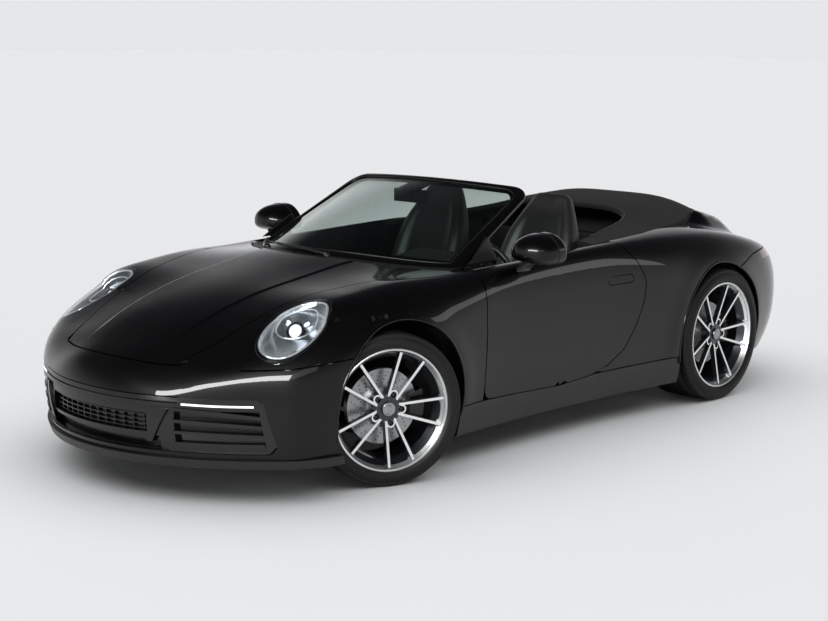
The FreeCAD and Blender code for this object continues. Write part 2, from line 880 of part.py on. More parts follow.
# Body panels
def wing():
    cuts = [prism(bumper_top, "side", 0, cut_reach),
            bonnet_zone(panel_gap),
            block(0, screen_base_x + panel_gap / 2, bonnet_rear_y, 0, spine_z, cut_reach),
            prism(door_outline, "side", 0, cut_reach, door_corner, panel_gap),
            front_arch,
            block(0, cut_reach, -half_length, 0, 0, sill_top),
            lamp_prism(lamp_gap),
            hinge_sweep()]
    shell = one_solid(wing_form.panel(panel_thickness).cut(cuts))
    lip = arch_lip(front_arch, front_axle_y, front_tyre_radius, front_arch_radius)
    lip = lip.common(wing_form.core(panel_thickness / 2)).cut(cuts)
    return one_solid(shell.fuse(lip).removeSplitter())


def hinge_sweep():
    """Where the door's front edge turns in behind the wing."""
    points = [Vector(r * hinge_sweep_radius, 0, z * deck_height) for r, z in hinge_sweep_shares]
    face = Part.Face(Part.makePolygon(points + [points[0]]))
    sweep = face.revolve(Vector(0, 0, 0), Vector(0, 0, 1), 360)
    sweep.translate(Vector(door_hinge_x, door_hinge_y, 0))
    return sweep


def door():
    inner_half = block(door_inner_x, cut_reach, -half_length, half_length, 0, cut_reach)
    plate = door_form.panel(door_plate).common(prism(door_outline, "side", 0, cut_reach, door_corner))
    plate = one_solid(plate.common(inner_half))
    box = door_form.core(door_plate / 2).common(prism(door_outline, "side", 0, cut_reach, door_corner,
                                                      -door_inset))
    box = one_solid(box.common(inner_half))
    return one_solid(plate.fuse(box).removeSplitter().cut(handle_groove_ring()))


def handle_groove_ring():
    """The groove round the flush door handle."""
    low, high = handle_z - handle_height / 2, handle_z + handle_height / 2
    outline = [(handle_y0, low), (handle_y1, low), (handle_y1, high), (handle_y0, high)]
    floor_x = side_reach((handle_y0 + handle_y1) / 2, handle_z) - handle_depth
    outer = prism(outline, "side", floor_x, cut_reach, handle_height / 2)
    return outer.cut(prism(outline, "side", floor_x, cut_reach, handle_height / 2, -handle_groove))


def quarter():
    cuts = [prism(rear_bumper_line, "side", 0, cut_reach),
            prism(whole_plan(cabin_outline), "plan", 0, cut_reach, 0.0, panel_gap),
            prism(door_outline, "side", 0, cut_reach, door_corner, panel_gap),
            rear_arch,
            block(0, cut_reach, 0, sill_rear_y, 0, sill_top),
            lid_zone(panel_gap),
            spoiler_zone(panel_gap)]
    shell = one_solid(quarter_form.panel(panel_thickness).cut(cuts))
    lip = arch_lip(rear_arch, rear_axle_y, rear_tyre_radius, rear_arch_radius)
    lip = lip.common(quarter_form.core(panel_thickness / 2)).cut(cuts)
    return one_solid(shell.fuse(lip).removeSplitter())


def lid_zone(margin):
    half = lid_width / 2
    return prism([(-half, lid_front_y), (half, lid_front_y), (half, lid_rear_y), (-half, lid_rear_y)],
                 "plan", spine_z, cut_reach, 0.0, margin)


def spoiler_zone(margin):
    half = spoiler_width / 2
    front = lid_rear_y + panel_gap
    return prism([(-half, front), (half, front), (half, half_length + overrun), (-half, half_length + overrun)],
                 "plan", spine_z, cut_reach, 0.0, margin)


def bonnet():
    return bonnet_form.panel(lid_thickness)


def engine_lid():
    """The louvred lid behind the roof cover."""
    shape = lid_form.panel(lid_thickness).common(lid_zone(0.0))
    shape = shape.cut(prism(whole_plan(cabin_outline), "plan", 0, cut_reach, 0.0, panel_gap))
    for i in range(slat_count):
        for side in (-1, 1):
            x = side * (slat_first + i * slat_pitch)
            shape = shape.cut(block(x - slat_slot / 2, x + slat_slot / 2, slat_front_y,
                                    lid_rear_y - slat_margin, spine_z, cut_reach))
    return one_solid(shape)


def spoiler_places():
    """Rows from just ahead of the spoiler's front edge back to the bow of its rear edge."""
    front = lid_rear_y + panel_gap
    half = spoiler_width / 2 + panel_thickness
    rows = []
    for t in spread(-0.1, 1, 7):
        rows.append([(x, front + t * (half_length - rear_bow(x) - spoiler_edge - front))
                     for x in spread(-half, half, 11)])
    return rows


spoiler_form = deck_skin(spoiler_places())


def rear_spoiler():
    """The rear deck with its lifting spoiler, drawn as lowered."""
    shape = spoiler_form.panel(lid_thickness).common(spoiler_zone(0.0))
    above_lamp = block(-cut_reach, cut_reach, 0, half_length, lamp_high + panel_gap, cut_reach)
    return one_solid(shape.common(above_lamp))


def cowl_places():
    """Rows from behind the bonnet's rear edge back to the foot of the glass."""
    rows = []
    for t in spread(0, 1, 4):
        row = []
        for u in spread(-1, 1, 13):
            x = u * screen_base_x
            share = (x / bonnet_rear_half) ** 2
            front = bonnet_rear_y + (bonnet_rear_corner_y - bonnet_rear_y) * share + cowl_gap
            rear = screen_base_y + screen_base_sweep * u * u - seat_gap
            row.append((x, front + t * (rear - front)))
        rows.append(row)
    return rows


cowl_form = deck_skin(cowl_places())


def cowl():
    """The strip between bonnet and glass."""
    return cowl_form.panel(panel_thickness)


# Nose
def nose_prism(outline, corner=0.0, grow=0.0):
    return prism(outline, "front", -half_length - overrun, nose_turn_y - overrun, corner, grow)


def front_bumper():
    shape = nose_form.panel(panel_thickness)
    shape = shape.common(block(-cut_reach, cut_reach, -half_length - overrun, 0, bumper_low, bumper_high))
    above = block(-cut_reach, cut_reach, -half_length - overrun, 0, bumper_low - overrun, cut_reach)
    lowered = [(y, z - panel_gap if z > 0 else z) for y, z in bumper_top]
    above = above.cut(prism(lowered, "side", -cut_reach, cut_reach))
    above = above.cut(block(-nose_half, nose_half, -half_length - overrun, bonnet_corner_y, 0, cut_reach))
    return one_solid(shape.cut([above, bonnet_zone(panel_gap), nose_prism(fascia_outline, fascia_corner),
                                front_arch]))


def rectangle(a0, a1, b0, b1):
    return [(a0, b0), (a1, b0), (a1, b1), (a0, b1)]


def louvre_outline(i):
    """One curved slat of the side intake, falling away to its outer end."""
    top, foot = [], []
    height = louvre_high + (louvre_low - louvre_high) * i / (louvre_count - 1)
    for share in spread(0, 1, 9):
        x = louvre_first + share * (louvre_last - louvre_first)
        z = height - louvre_drop * share ** 2 * (1 - i / (louvre_count - 1))
        top.append((x, z + louvre_width / 2))
        foot.append((x, z - louvre_width / 2))
    return top + list(reversed(foot))


def front_grille():
    """The insert of the nose: side intakes with curved slats, vanes, a meshed middle and ridged strips."""
    slab = nose_form.panel(fascia_depth + fascia_back - panel_thickness - seat_gap, panel_thickness + seat_gap)
    slab = slab.common(nose_prism(fascia_outline, fascia_corner, fascia_hold))
    slab = slab.common(block(-cut_reach, cut_reach, -half_length - overrun, nose_turn_y, bumper_low, cut_reach))
    heart = nose_form.core(fascia_depth)
    pockets = [rectangle(-mesh_half, mesh_half, mesh_low, mesh_high),
               rectangle(-duct_half, duct_half, duct_low, duct_high)]
    for side in (-1, 1):
        pockets.append(rectangle(side * louvre_first, side * louvre_last, louvre_low, louvre_high))
    slab = one_solid(slab.cut([nose_prism(outline).cut(heart) for outline in pockets]))
    raised = nose_form.panel(fascia_depth, louvre_depth)
    ridge_form = nose_form.panel(strip_back, strip_depth)
    pieces = []
    for side in (-1, 1):
        for i in range(louvre_count):
            outline = [(side * x, z) for x, z in louvre_outline(i)]
            pieces.append(nose_prism(outline).common(raised))
        vane = [(side * x, z) for x, z in ((vane_foot_x - vane_width / 2, louvre_low),
                                           (vane_foot_x + vane_width / 2, louvre_low),
                                           (vane_top_x + vane_width / 2, louvre_high),
                                           (vane_top_x - vane_width / 2, louvre_high))]
        pieces.append(nose_prism(vane).common(ridge_form))
        pieces.append(nose_prism([(side * x, z) for x, z in blade_outline]).common(ridge_form))
        house = rectangle(side * (running_first - strip_ridge), side * (running_last + strip_ridge),
                          strip_low, fascia_outline[0][1])
        pieces.append(nose_prism(house).common(ridge_form))
    for i in range(strip_ridges):
        low = strip_low + i * strip_pitch
        ridge = rectangle(strip_ridge - running_first, running_first - strip_ridge, low, low + strip_ridge)
        pieces.append(nose_prism(ridge).common(ridge_form))
    mesh_form = nose_form.panel(fascia_depth - mesh_depth + fascia_back / 2, mesh_depth)
    for i in range(mesh_bars):
        x = -mesh_half + 2 * mesh_half * (i + 0.5) / mesh_bars
        pieces.append(nose_prism(rectangle(x - mesh_bar / 2, x + mesh_bar / 2, mesh_low - mesh_bar,
                                           mesh_high + mesh_bar)).common(mesh_form))
    for i in range(mesh_rows):
        z = mesh_low + (mesh_high - mesh_low) * (i + 0.5) / mesh_rows
        pieces.append(nose_prism(rectangle(-mesh_half - mesh_bar, mesh_half + mesh_bar, z - mesh_bar / 2,
                                           z + mesh_bar / 2)).common(mesh_form))
    shape = slab.fuse(pieces)
    slots = [nose_prism(running_outline(side), 0.0, seat_gap).cut(
        nose_form.core(strip_depth + running_depth + seat_gap)) for side in (-1, 1)]
    opening = nose_prism(fascia_outline, fascia_corner, -seat_gap)
    proud = shape.cut(nose_form.core(panel_thickness + seat_gap)).cut(opening)
    notch = block(fascia_notch_x, cut_reach, fascia_notch_y, nose_turn_y, fascia_notch_z, cut_reach)
    return one_solid(shape.cut(slots + [notch, mirrored(notch)]).cut(proud))


def running_outline(side):
    return rectangle(side * running_first, side * running_last, running_low, running_high)


def front_lip():
    form = ring_skin(nose_turn_y, -1, spread(lip_low, bumper_low - seat_gap, 3), spread(-84, 84, 17))
    keep = block(-cut_reach, cut_reach, -half_length - overrun, 0, lip_low, bumper_low - seat_gap)
    return one_solid(form.panel(lip_thickness, -lip_grow).common(keep).cut(front_arch))


# Headlamps
lamp_form = side_skin([(nose_turn_y, tilt) for tilt in spread(-58, 12, 12)], spread(8, 92, 12))


def lamp_prism(margin):
    ellipse = Part.Ellipse(Vector(0, 0, 0), headlamp_along + margin, headlamp_across + margin)
    face = Part.Face(Part.Wire(ellipse.toShape()))
    face.rotate(Vector(0, 0, 0), Vector(0, 0, 1), 90 + headlamp_turn)
    face.translate(Vector(headlamp_x, headlamp_y, spine_z))
    return face.extrude(Vector(0, 0, cut_reach))


def lamp_layer(depth, thickness):
    """The space below the lamp's skin, from a depth down along the lamp's own axis."""
    outer = lamp_form.sunk(depth)
    return between(outer, [[point - lamp_axis * thickness for point in row] for row in outer])


def headlamp_lenses():
    """Both clear covers and the running lights in the nose."""
    lens = one_solid(lamp_form.panel(lens_thickness).common(lamp_prism(-seat_gap)))
    strips = nose_form.panel(running_depth, strip_depth)
    lights = [one_solid(nose_prism(running_outline(side)).common(strips)) for side in (-1, 1)]
    return [lens, mirrored(lens)] + lights


def headlamp_unit():
    """A bowl that follows the wing, with a round projector in the middle."""
    outer = one_solid(lamp_layer(lens_thickness + seat_gap, bowl_depth).common(lamp_prism(lamp_gap - seat_gap)))
    hollow = one_solid(lamp_layer(-bowl_wall, bowl_depth).common(lamp_prism(-seat_gap - bowl_wall)))
    bowl = one_solid(outer.cut(hollow))
    axis = Vector(math.sin(projector_turn), -math.cos(projector_turn), 0)
    middle = skin_point(Vector(headlamp_x, headlamp_y, spine_z), Vector(0, 0, 1))
    start = middle + Vector(0, 0, -projector_drop) - axis * projector_length
    tube = Part.makeCylinder(projector_radius, projector_length, start, axis)
    eye = Part.makeSphere(projector_radius, start + axis * (projector_length - projector_radius / 4))
    limit = one_solid(lamp_layer(projector_margin, bowl_depth - projector_margin).common(
        lamp_prism(-bowl_wall / 2)))
    projector = tube.fuse(eye).common(limit)
    return one_solid(bowl.fuse(projector))


# Tail
def tail_lamps():
    keep = block(-cut_reach, cut_reach, lamp_front_y, half_length + overrun, lamp_low, lamp_high)
    return one_solid(tail_form.panel(lamp_thickness).common(keep))


def rear_bumper():
    under = [(y, z - panel_gap) for y, z in rear_bumper_line[1:5]]
    above = prism(under + [(under[-1][0], cut_reach), (under[0][0], cut_reach)], "side", -cut_reach, cut_reach)
    lamps = block(-cut_reach, cut_reach, lamp_front_y - seat_gap, half_length + overrun,
                  lamp_low - seat_gap, cut_reach)
    opening = prism(diffuser_outline, "front", half_length - tail_zone, half_length + overrun, fascia_corner)
    below = block(-cut_reach, cut_reach, 0, half_length + overrun, -cut_reach, rear_bumper_low)
    return one_solid(tail_form.panel(panel_thickness).cut([above, lamps, rear_arch, opening, below]))


def rear_diffuser():
    form = ring_skin(tail_turn_y, 1, spread(diffuser_low, diffuser_outline[0][1] + overrun, 5), spread(-48, 48, 9))
    shape = form.panel(diffuser_thickness, diffuser_depth)
    shape = one_solid(shape.common(prism(diffuser_outline, "front", half_length - tail_zone,
                                         half_length + overrun, fascia_corner, -seat_gap)))
    return one_solid(shape.cut([tip_cylinder(x, tip_radius + panel_gap) for x in tip_places()]))


def tip_places():
    return [side * (tip_x + step * tip_spacing / 2) for side in (-1, 1) for step in (-1, 1)]


def tip_cylinder(x, radius):
    start_y = silencer_rear_y - seat_gap
    return Part.makeCylinder(radius, tip_rear_y - start_y, Vector(x, start_y, tip_z), Vector(0, 1, 0))


def exhaust():
    """The silencer across the tail with its four tips."""
    shape = prism(rectangle(silencer_front_y, silencer_rear_y, silencer_low, rail_low - seat_gap), "side",
                  -silencer_half, silencer_half, silencer_corner)
    for x in tip_places():
        shape = shape.fuse(tip_cylinder(x, tip_radius))
    for x in tip_places():
        bore = tip_cylinder(x, tip_radius - tip_wall)
        bore.translate(Vector(0, silencer_corner, 0))
        shape = shape.cut(bore)
    return one_solid(shape)


# Flanks below the doors
def sill_skirts():
    keep = block(0, cut_reach, sill_front_y, sill_rear_y, sill_bottom, sill_top - panel_gap)
    shape = skirt_form.panel(skirt_thickness).common(keep)
    shape = shape.cut([prism(door_outline, "side", 0, cut_reach, door_corner, panel_gap), front_arch, rear_arch])
    return pair([one_solid(shape)])


# Windscreen: u runs across from -1 to 1, v up from 0 at the cowl to 1 at the header
screen_lean = Vector(0, -0.45, 0.89)


def screen_point(u, v):
    base_y = screen_base_y + screen_base_sweep * u * u
    base = Vector(u * screen_base_x, base_y, deck_top(u * screen_base_x, base_y))
    head = Vector(u * screen_head_x, screen_head_y + screen_head_sweep * u * u,
                  screen_head_z - screen_head_drop * u * u)
    return base * (1 - v) + head * v + screen_lean * (screen_crown * 4 * v * (1 - v) * (1 - u * u))


def screen_normal(u, v):
    small = 0.01
    across = screen_point(u + small, v) - screen_point(u - small, v)
    upward = screen_point(u, v + small) - screen_point(u, v - small)
    return across.cross(upward).normalize()


def screen_rows(depth, u_low, u_high, v_low, v_high, columns, rows):
    return [[screen_point(u, v) - screen_normal(u, v) * depth for u in spread(u_low, u_high, columns)]
            for v in spread(v_low, v_high, rows)]


def screen_panel(depth, thickness, u_reach=1.0, v_low=0.0, v_high=1.0):
    return between(screen_rows(depth, -u_reach, u_reach, v_low, v_high, 13, 6),
                   screen_rows(depth + thickness, -u_reach, u_reach, v_low, v_high, 13, 6))


def screen_prism(margin):
    """The glass opening, cut square to the middle of the screen."""
    u = 1 - (frame_side - margin) / screen_base_x
    u_head = 1 - (frame_side - margin) / screen_head_x
    length = (screen_point(0, 1) - screen_point(0, 0)).Length
    low, high = (frame_foot - margin) / length, 1 - (frame_head - margin) / length
    normal = screen_normal(0, 0.5)
    across = Vector(1, 0, 0)
    origin = screen_point(0, 0.5)
    upward = normal.cross(across)
    places = [(share, low) for share in spread(-u, u, 11)] + [(share, high) for share in spread(u_head, -u_head, 7)]
    points = []
    for place in places:
        offset = screen_point(*place) - origin
        points.append(origin + across * offset.dot(across) + upward * offset.dot(upward) - normal * cut_reach / 4)
    return Part.Face(outline_wire(points, frame_corner)).extrude(normal * cut_reach / 2)


def windscreen_frame():
    return one_solid(screen_panel(0.0, frame_thickness).cut(screen_prism(0.0)))


def windscreen():
    return one_solid(screen_panel(glass_setback, glass_thickness).common(screen_prism(-seat_gap)))


def behind_glass(shape):
    """Cut away whatever of a cabin piece would reach the glass."""
    depth = glass_setback + glass_thickness + seat_gap
    return shape.cut(screen_panel(-cut_reach / 4, cut_reach / 4 + depth))


def inside_mirror():
    """The rear-view mirror on its stem under the glass."""
    head = block(-inside_mirror_half, inside_mirror_half, inside_mirror_y, inside_mirror_y + inside_mirror_depth,
                 inside_mirror_low, inside_mirror_high)
    stem = block(-inside_mirror_depth / 2, inside_mirror_depth / 2, inside_mirror_y - inside_mirror_depth,
                 inside_mirror_y + inside_mirror_depth / 2, inside_mirror_high - inside_mirror_depth, cut_reach)
    return one_solid(behind_glass(head.fuse(stem).removeSplitter()))


wiper_shares = ((0.59, 0.03), (-0.03, -0.60))


def wipers():
    """Two blades that lie on the black foot of the screen, each on its pivot."""
    shapes = []
    for pivot, tip in wiper_shares:
        low, high = min(pivot, tip), max(pivot, tip)
        blade = between(screen_rows(-seat_gap - wiper_width, low, high, wiper_low_share, wiper_high_share,
                                    9, 3),
                        screen_rows(-seat_gap, low, high, wiper_low_share, wiper_high_share, 9, 3))
        foot = screen_point(pivot, 0)
        base = skin_point(Vector(foot.x, foot.y - wiper_pivot_forward, spine_z), Vector(0, 0, 1))
        post = Part.makeCylinder(wiper_pivot_radius, wiper_pivot_height, base + Vector(0, 0, 2 * seat_gap))
        shape = post.fuse(blade).cut([screen_panel(-seat_gap, frame_thickness),
                                      cowl_form.panel(panel_thickness, -seat_gap)])
        shapes.append(one_solid(shape))
    return shapes


# Roof cover behind the seats, in (half length, deck height), (half length, half width) and plan shares
cover_profile_shares = [(0.10, 1.02), (0.30, 1.055), (0.40, 1.085), (0.46, 1.113), (0.51, 1.135),
                        (0.58, 1.151), (0.642, 1.155), (0.69, 1.120), (0.725, 1.068), (0.75, 1.030),
                        (0.78, 0.99)]
cover_edge_shares = [(0.10, 0.990), (0.149, 0.994), (0.241, 1.003), (0.39, 1.013), (0.51, 1.021),
                     (0.60, 1.030), (0.668, 1.028), (0.72, 1.020), (0.78, 0.99)]
cover_half_shares = [(0.10, 0.78), (0.149, 0.775), (0.241, 0.762), (0.39, 0.705), (0.51, 0.652),
                     (0.60, 0.60), (0.78, 0.55)]
cover_inner_shares = [(0.0, 0.46), (0.34, 0.455), (0.46, 0.43), (0.525, 0.38), (0.58, 0.30),
                      (0.66, 0.18), (0.70, 0.10), (0.0, 0.10)]
cover_profile = Curve(cover_profile_shares, half_length, deck_height)
cover_edge = Curve(cover_edge_shares, half_length, deck_height)
cover_half = Curve(cover_half_shares, half_length, half_width)


def cover_height(x, y):
    out = min(abs(x) / cover_half(y), cover_side_share) ** cover_power
    return cover_edge(y) + (cover_profile(y) - cover_edge(y)) * (1 - out)


def cover_rows(lift):
    return [[Vector(x, y, cover_height(x, y) + lift) for x in spread(-cover_half_x, cover_half_x, 15)]
            for y in spread(cover_grid_front_y, cover_grid_rear_y, 12)]


def tonneau_cover():
    shape = between(cover_rows(0.0), cover_rows(-cover_thickness))
    outer = prism(whole_plan(cabin_outline), "plan", 0, 2 * cut_reach)
    inner = prism(whole_plan(in_sizes(cover_inner_shares, half_width, half_length)), "plan", 0,
                  2 * cut_reach, cover_inner_corner)
    rim = between(cover_rows(-cover_thickness / 2), cover_rows(-cover_rim_depth)).common(outer)
    rim = rim.cut([prism(whole_plan(cabin_outline), "plan", 0, 2 * cut_reach, 0.0, -cover_rim_width),
                   block(-cut_reach, cut_reach, -half_length, cover_rim_front_y, 0, 2 * cut_reach)])
    return one_solid(shape.common(outer).cut(inner).fuse(one_solid(rim)).removeSplitter())


# Cabin tub and structure
def bent_plate(points, thickness, x0, x1):
    """A plate bent along a side-view line, carried across from x0 to x1, thick to the line's left."""
    ways = []
    for (a0, b0), (a1, b1) in zip(points, points[1:]):
        length = math.hypot(a1 - a0, b1 - b0)
        ways.append(((a1 - a0) / length, (b1 - b0) / length))
    offset = []
    for i, (a, b) in enumerate(points):
        before, after = ways[max(i - 1, 0)], ways[min(i, len(ways) - 1)]
        cosine = before[0] * after[0] + before[1] * after[1]
        reach = thickness / (1 + cosine)
        offset.append((a - (before[1] + after[1]) * reach, b + (before[0] + after[0]) * reach))
    return prism(points + list(reversed(offset)), "side", x0, x1)


def liner(side, axle_y, axle_z, arch_radius, inner_x, hole):
    """The upper half of a wheelhouse: a barrel roof and its inner wall."""
    hollow_radius = arch_radius + liner_gap
    length = liner_outer_x - inner_x
    barrel = Part.makeCylinder(hollow_radius + liner_thickness, length, Vector(inner_x, axle_y, axle_z),
                               Vector(1, 0, 0))
    barrel = barrel.cut([wheelhouse(axle_y, axle_z, arch_radius, inner_x + liner_thickness),
                         block(0, cut_reach, axle_y - cut_reach, axle_y + cut_reach, -cut_reach,
                               axle_z - liner_drop)])
    if hole:
        barrel = barrel.cut(arch_cut(axle_y, axle_z, hole))
    return barrel if side > 0 else mirrored(barrel)


def wheelhouse(axle_y, axle_z, arch_radius, inner_x):
    return Part.makeCylinder(arch_radius + liner_gap, cut_reach, Vector(inner_x, axle_y, axle_z), Vector(1, 0, 0))


def floor_tub():
    line = [(cowl_box_y, cowl_box_high), (cowl_box_y, cowl_box_low), (firewall_y, cowl_box_low),
            (firewall_y, firewall_low), (toe_y, floor_z), (heel_y, floor_z), (pan_front_y, pan_z),
            (pan_rear_y, pan_z), (bulkhead_y, bulkhead_high)]
    shape = bent_plate(line, floor_thickness, -tub_half - tub_wall, tub_half + tub_wall)
    rear_arch_front = rear_axle_y - rear_arch_radius - overrun
    shapes = []
    for side in (-1, 1):
        flank = [block(tub_half, sill_box_outer, firewall_y, rear_arch_front, floor_z, sill_box_high),
                 block(tub_half, post_outer, firewall_y, post_rear_y, floor_z, post_high),
                 block(tub_half, foot_post_outer, foot_post_front_y, foot_post_rear_y, foot_post_low,
                       foot_post_high).cut(screen_panel(-cut_reach / 4, cut_reach / 4 + frame_thickness + seat_gap,
                                                        screen_side_share, screen_foot_share, 1.0)),
                 block(side_trim_inner, tub_half, heel_y, bulkhead_y, side_trim_low, cut_reach),
                 block(tub_half - tub_wall, cut_reach, latch_post_y, latch_post_y + latch_post_depth,
                       side_trim_low, bulkhead_high).common(quarter_form.core(panel_thickness + seat_gap)),
                 block(tub_half, cut_reach, firewall_y, rear_arch_front, skirt_flange_low,
                       skirt_flange_high).common(skirt_form.core(skirt_thickness + seat_gap))]
        shapes.extend(flank if side > 0 else [mirrored(piece) for piece in flank])
    tunnel = block(-tunnel_half, tunnel_half, firewall_y, heel_y + overrun, floor_z, tunnel_high)
    shapes.append(tunnel.cut(block(tub_wall - tunnel_half, tunnel_half - tub_wall, firewall_y - overrun,
                                   heel_y + 2 * overrun, floor_z - overrun, tunnel_high - tub_wall)))
    bay = block(-bay_half - tub_wall, bay_half + tub_wall, bay_front_y, bay_rear_y, bay_low, bay_high)
    bay = bay.cut(block(-bay_half, bay_half, bay_front_y + tub_wall, bay_rear_y - tub_wall, bay_low + tub_wall,
                        cut_reach))
    shapes.append(bay.cut(bay_form.above(lid_thickness + bay_lid_gap)))
    shapes.append(block(-bay_half, bay_half, bay_rear_y - tub_wall, firewall_y + tub_wall / 2, link_low, link_high))
    shapes.append(block(-bay_half, bay_half, -half_length, bay_front_y + tub_wall, nose_beam_low,
                        nose_beam_high).common(nose_form.core(panel_thickness + seat_gap)))
    shapes.append(block(-bracket_half, bracket_half, cowl_box_y, cowl_box_y + floor_thickness, cowl_box_low,
                        deck_height).cut(bay_above_cowl()))
    for side in (-1, 1):
        x = side * rail_x
        shapes.append(block(x - rail_half, x + rail_half, rail_front_y, rail_rear_y, rail_low, rail_high))
        hook = block(x - rail_half, x + rail_half, rail_rear_y - overrun, half_length, hook_low, rail_high)
        shapes.append(hook.common(tail_form.core(panel_thickness + seat_gap)))
        post = block(x - spoiler_post_half, x + spoiler_post_half, spoiler_post_front_y, spoiler_post_rear_y,
                     rail_high - tub_wall, cut_reach)
        shapes.append(post.cut(spoiler_form.above(lid_thickness + seat_gap)))
    shape = shape.fuse(shapes)
    shape = shape.cut(between(cover_rows(-cover_thickness - seat_gap), cover_rows(cut_reach / 4)))
    for side in (-1, 1):
        for axle_y, axle_z, radius, inner_x, hole in (
                (front_axle_y, front_tyre_radius, front_arch_radius, front_liner_inner, 0),
                (rear_axle_y, rear_tyre_radius, rear_arch_radius, rear_liner_inner, shaft_hole)):
            space = wheelhouse(axle_y, axle_z, radius, inner_x)
            shape = shape.cut(space if side > 0 else mirrored(space))
            shape = shape.fuse(liner(side, axle_y, axle_z, radius, inner_x, hole))
    return one_solid(shape.removeSplitter())


def bay_above_cowl():
    """The space above the underside of the cowl strip."""
    return deck_skin(plan_grid(2 * bracket_half, cowl_box_y - overrun, cowl_box_y + overrun, 5, 4)).above(
        panel_thickness + seat_gap)


# Dashboard, hood and console outlines seen from the side, in (half length, deck height)
dash_shares = [(-0.4419, 0.8493), (-0.4419, 0.942), (-0.31, 0.944), (-0.23, 0.940), (-0.1726, 0.906),
               (-0.1505, 0.844), (-0.155, 0.711), (-0.186, 0.622), (-0.248, 0.578), (-0.283, 0.60),
               (-0.3689, 0.711), (-0.3689, 0.8493)]
hood_shares = [(-0.25, 0.889), (-0.155, 0.889), (-0.153, 0.956), (-0.168, 0.987), (-0.25, 0.956)]
console_shares = [(-0.20, 0.467), (-0.20, 0.70), (-0.146, 0.667), (-0.053, 0.578), (0.106, 0.589),
                  (0.115, 0.4670)]


def wheel_placed(shape):
    """Turned from lying flat to face the driver, and moved to the steering wheel's place."""
    shape.rotate(Vector(0, 0, 0), Vector(1, 0, 0), wheel_tilt - 90)
    shape.translate(Vector(wheel_x, wheel_y, wheel_z))
    return shape


def dashboard():
    """The dashboard with its instrument hood, the steering column's cowling and the centre console."""
    shape = prism(in_sizes(dash_shares, half_length, deck_height), "side", dash_gap - tub_half,
                  tub_half - dash_gap, dash_corner)
    hood = prism(in_sizes(hood_shares, half_length, deck_height), "side", wheel_x - hood_half,
                 wheel_x + hood_half, dash_corner)
    console = prism(in_sizes(console_shares, half_length, deck_height), "side", -console_half, console_half,
                    dash_corner)
    console.translate(Vector(0, 0, seat_gap))
    cowling_start = wheel_hub_back + column_length + column_gap
    cowling = wheel_placed(Part.makeCylinder(cowling_radius, cowling_length,
                                             Vector(0, 0, -cowling_start - cowling_length)))
    shape = shape.fuse([hood, console, cowling]).removeSplitter()
    ledge_y, ledge_z = in_sizes(dash_shares, half_length, deck_height)[-1]
    shape = shape.cut(block(-tub_half, tub_half, -half_length, ledge_y, 0, ledge_z))
    return one_solid(shape.cut(screen_panel(-cut_reach / 4, cut_reach / 4 + frame_thickness + dash_gap,
                                            screen_side_share, dash_foot_share, 1.0)))


def turned(profile, sides, axis="x"):
    """A closed outline of (along axle, radius) carried round the axle in flat facets."""
    rings = []
    for i in range(sides):
        turn = 2 * math.pi * i / sides
        rings.append([Vector(a, r * math.sin(turn), r * math.cos(turn)) for a, r in profile])
    faces = []
    count = len(profile)
    for i in range(sides):
        here, there = rings[i], rings[(i + 1) % sides]
        for j in range(count):
            k = (j + 1) % count
            faces.append(Part.Face(Part.makePolygon([here[j], here[k], there[k], there[j], here[j]])))
    shell = Part.Shell(faces)
    shell.sewShape()
    solid = Part.Solid(shell)
    if solid.Volume < 0:
        solid.reverse()
    if axis == "z":
        solid.rotate(Vector(0, 0, 0), Vector(0, 1, 0), 90)
    return solid


def steering_wheel():
    ring = wheel_radius - wheel_grip
    section = [(wheel_grip * math.cos(math.radians(t)), ring + wheel_grip * math.sin(math.radians(t)))
               for t in range(0, 360, 36)]
    shapes = [Part.makeCylinder(wheel_hub_radius, wheel_hub_depth, Vector(0, 0, -wheel_hub_back)),
              Part.makeCylinder(column_radius, column_length + wheel_hub_back,
                                Vector(0, 0, -wheel_hub_back - column_length))]
    for turn in (0, 180, 270):
        spoke_bar = block(column_radius, ring, -wheel_spoke_half, wheel_spoke_half, -wheel_spoke_depth / 2,
                          wheel_spoke_depth / 2)
        spoke_bar.rotate(Vector(0, 0, 0), Vector(0, 0, 1), turn)
        shapes.append(spoke_bar)
    return one_solid(wheel_placed(turned(section, 48, "z").fuse(shapes).removeSplitter()))


# Seat outlines: cushion and back from the side in (half length, deck height), width from ahead in
# (half seat width, deck height)
cushion_shares = [(-0.146, 0.333), (0.066, 0.300), (0.084, 0.422), (0.053, 0.489), (-0.089, 0.522),
                  (-0.153, 0.522), (-0.159, 0.467)]
back_shares = [(0.066, 0.345), (0.128, 0.380), (0.177, 0.778), (0.212, 1.156), (0.208, 1.233), (0.186, 1.250),
               (0.159, 1.200), (0.133, 0.956), (0.062, 0.500)]
seat_taper_shares = [(-1.0, 0.267), (1.0, 0.267), (1.0, 0.689), (0.86, 0.922), (0.55, 1.067), (0.42, 1.267),
                     (-0.42, 1.267), (-0.55, 1.067), (-0.86, 0.922), (-1.0, 0.689)]
seat_base_shares = [(-0.115, 0.1848), (0.062, 0.1848), (0.062, 0.40), (-0.115, 0.40)]
rear_cushion_shares = [(0.26, 0.3959), (0.3925, 0.3959), (0.40, 0.478), (0.27, 0.522), (0.252, 0.470)]
rear_back_shares = [(0.375, 0.400), (0.392, 0.422), (0.4355, 0.915), (0.415, 0.945), (0.395, 0.930),
                    (0.362, 0.522)]


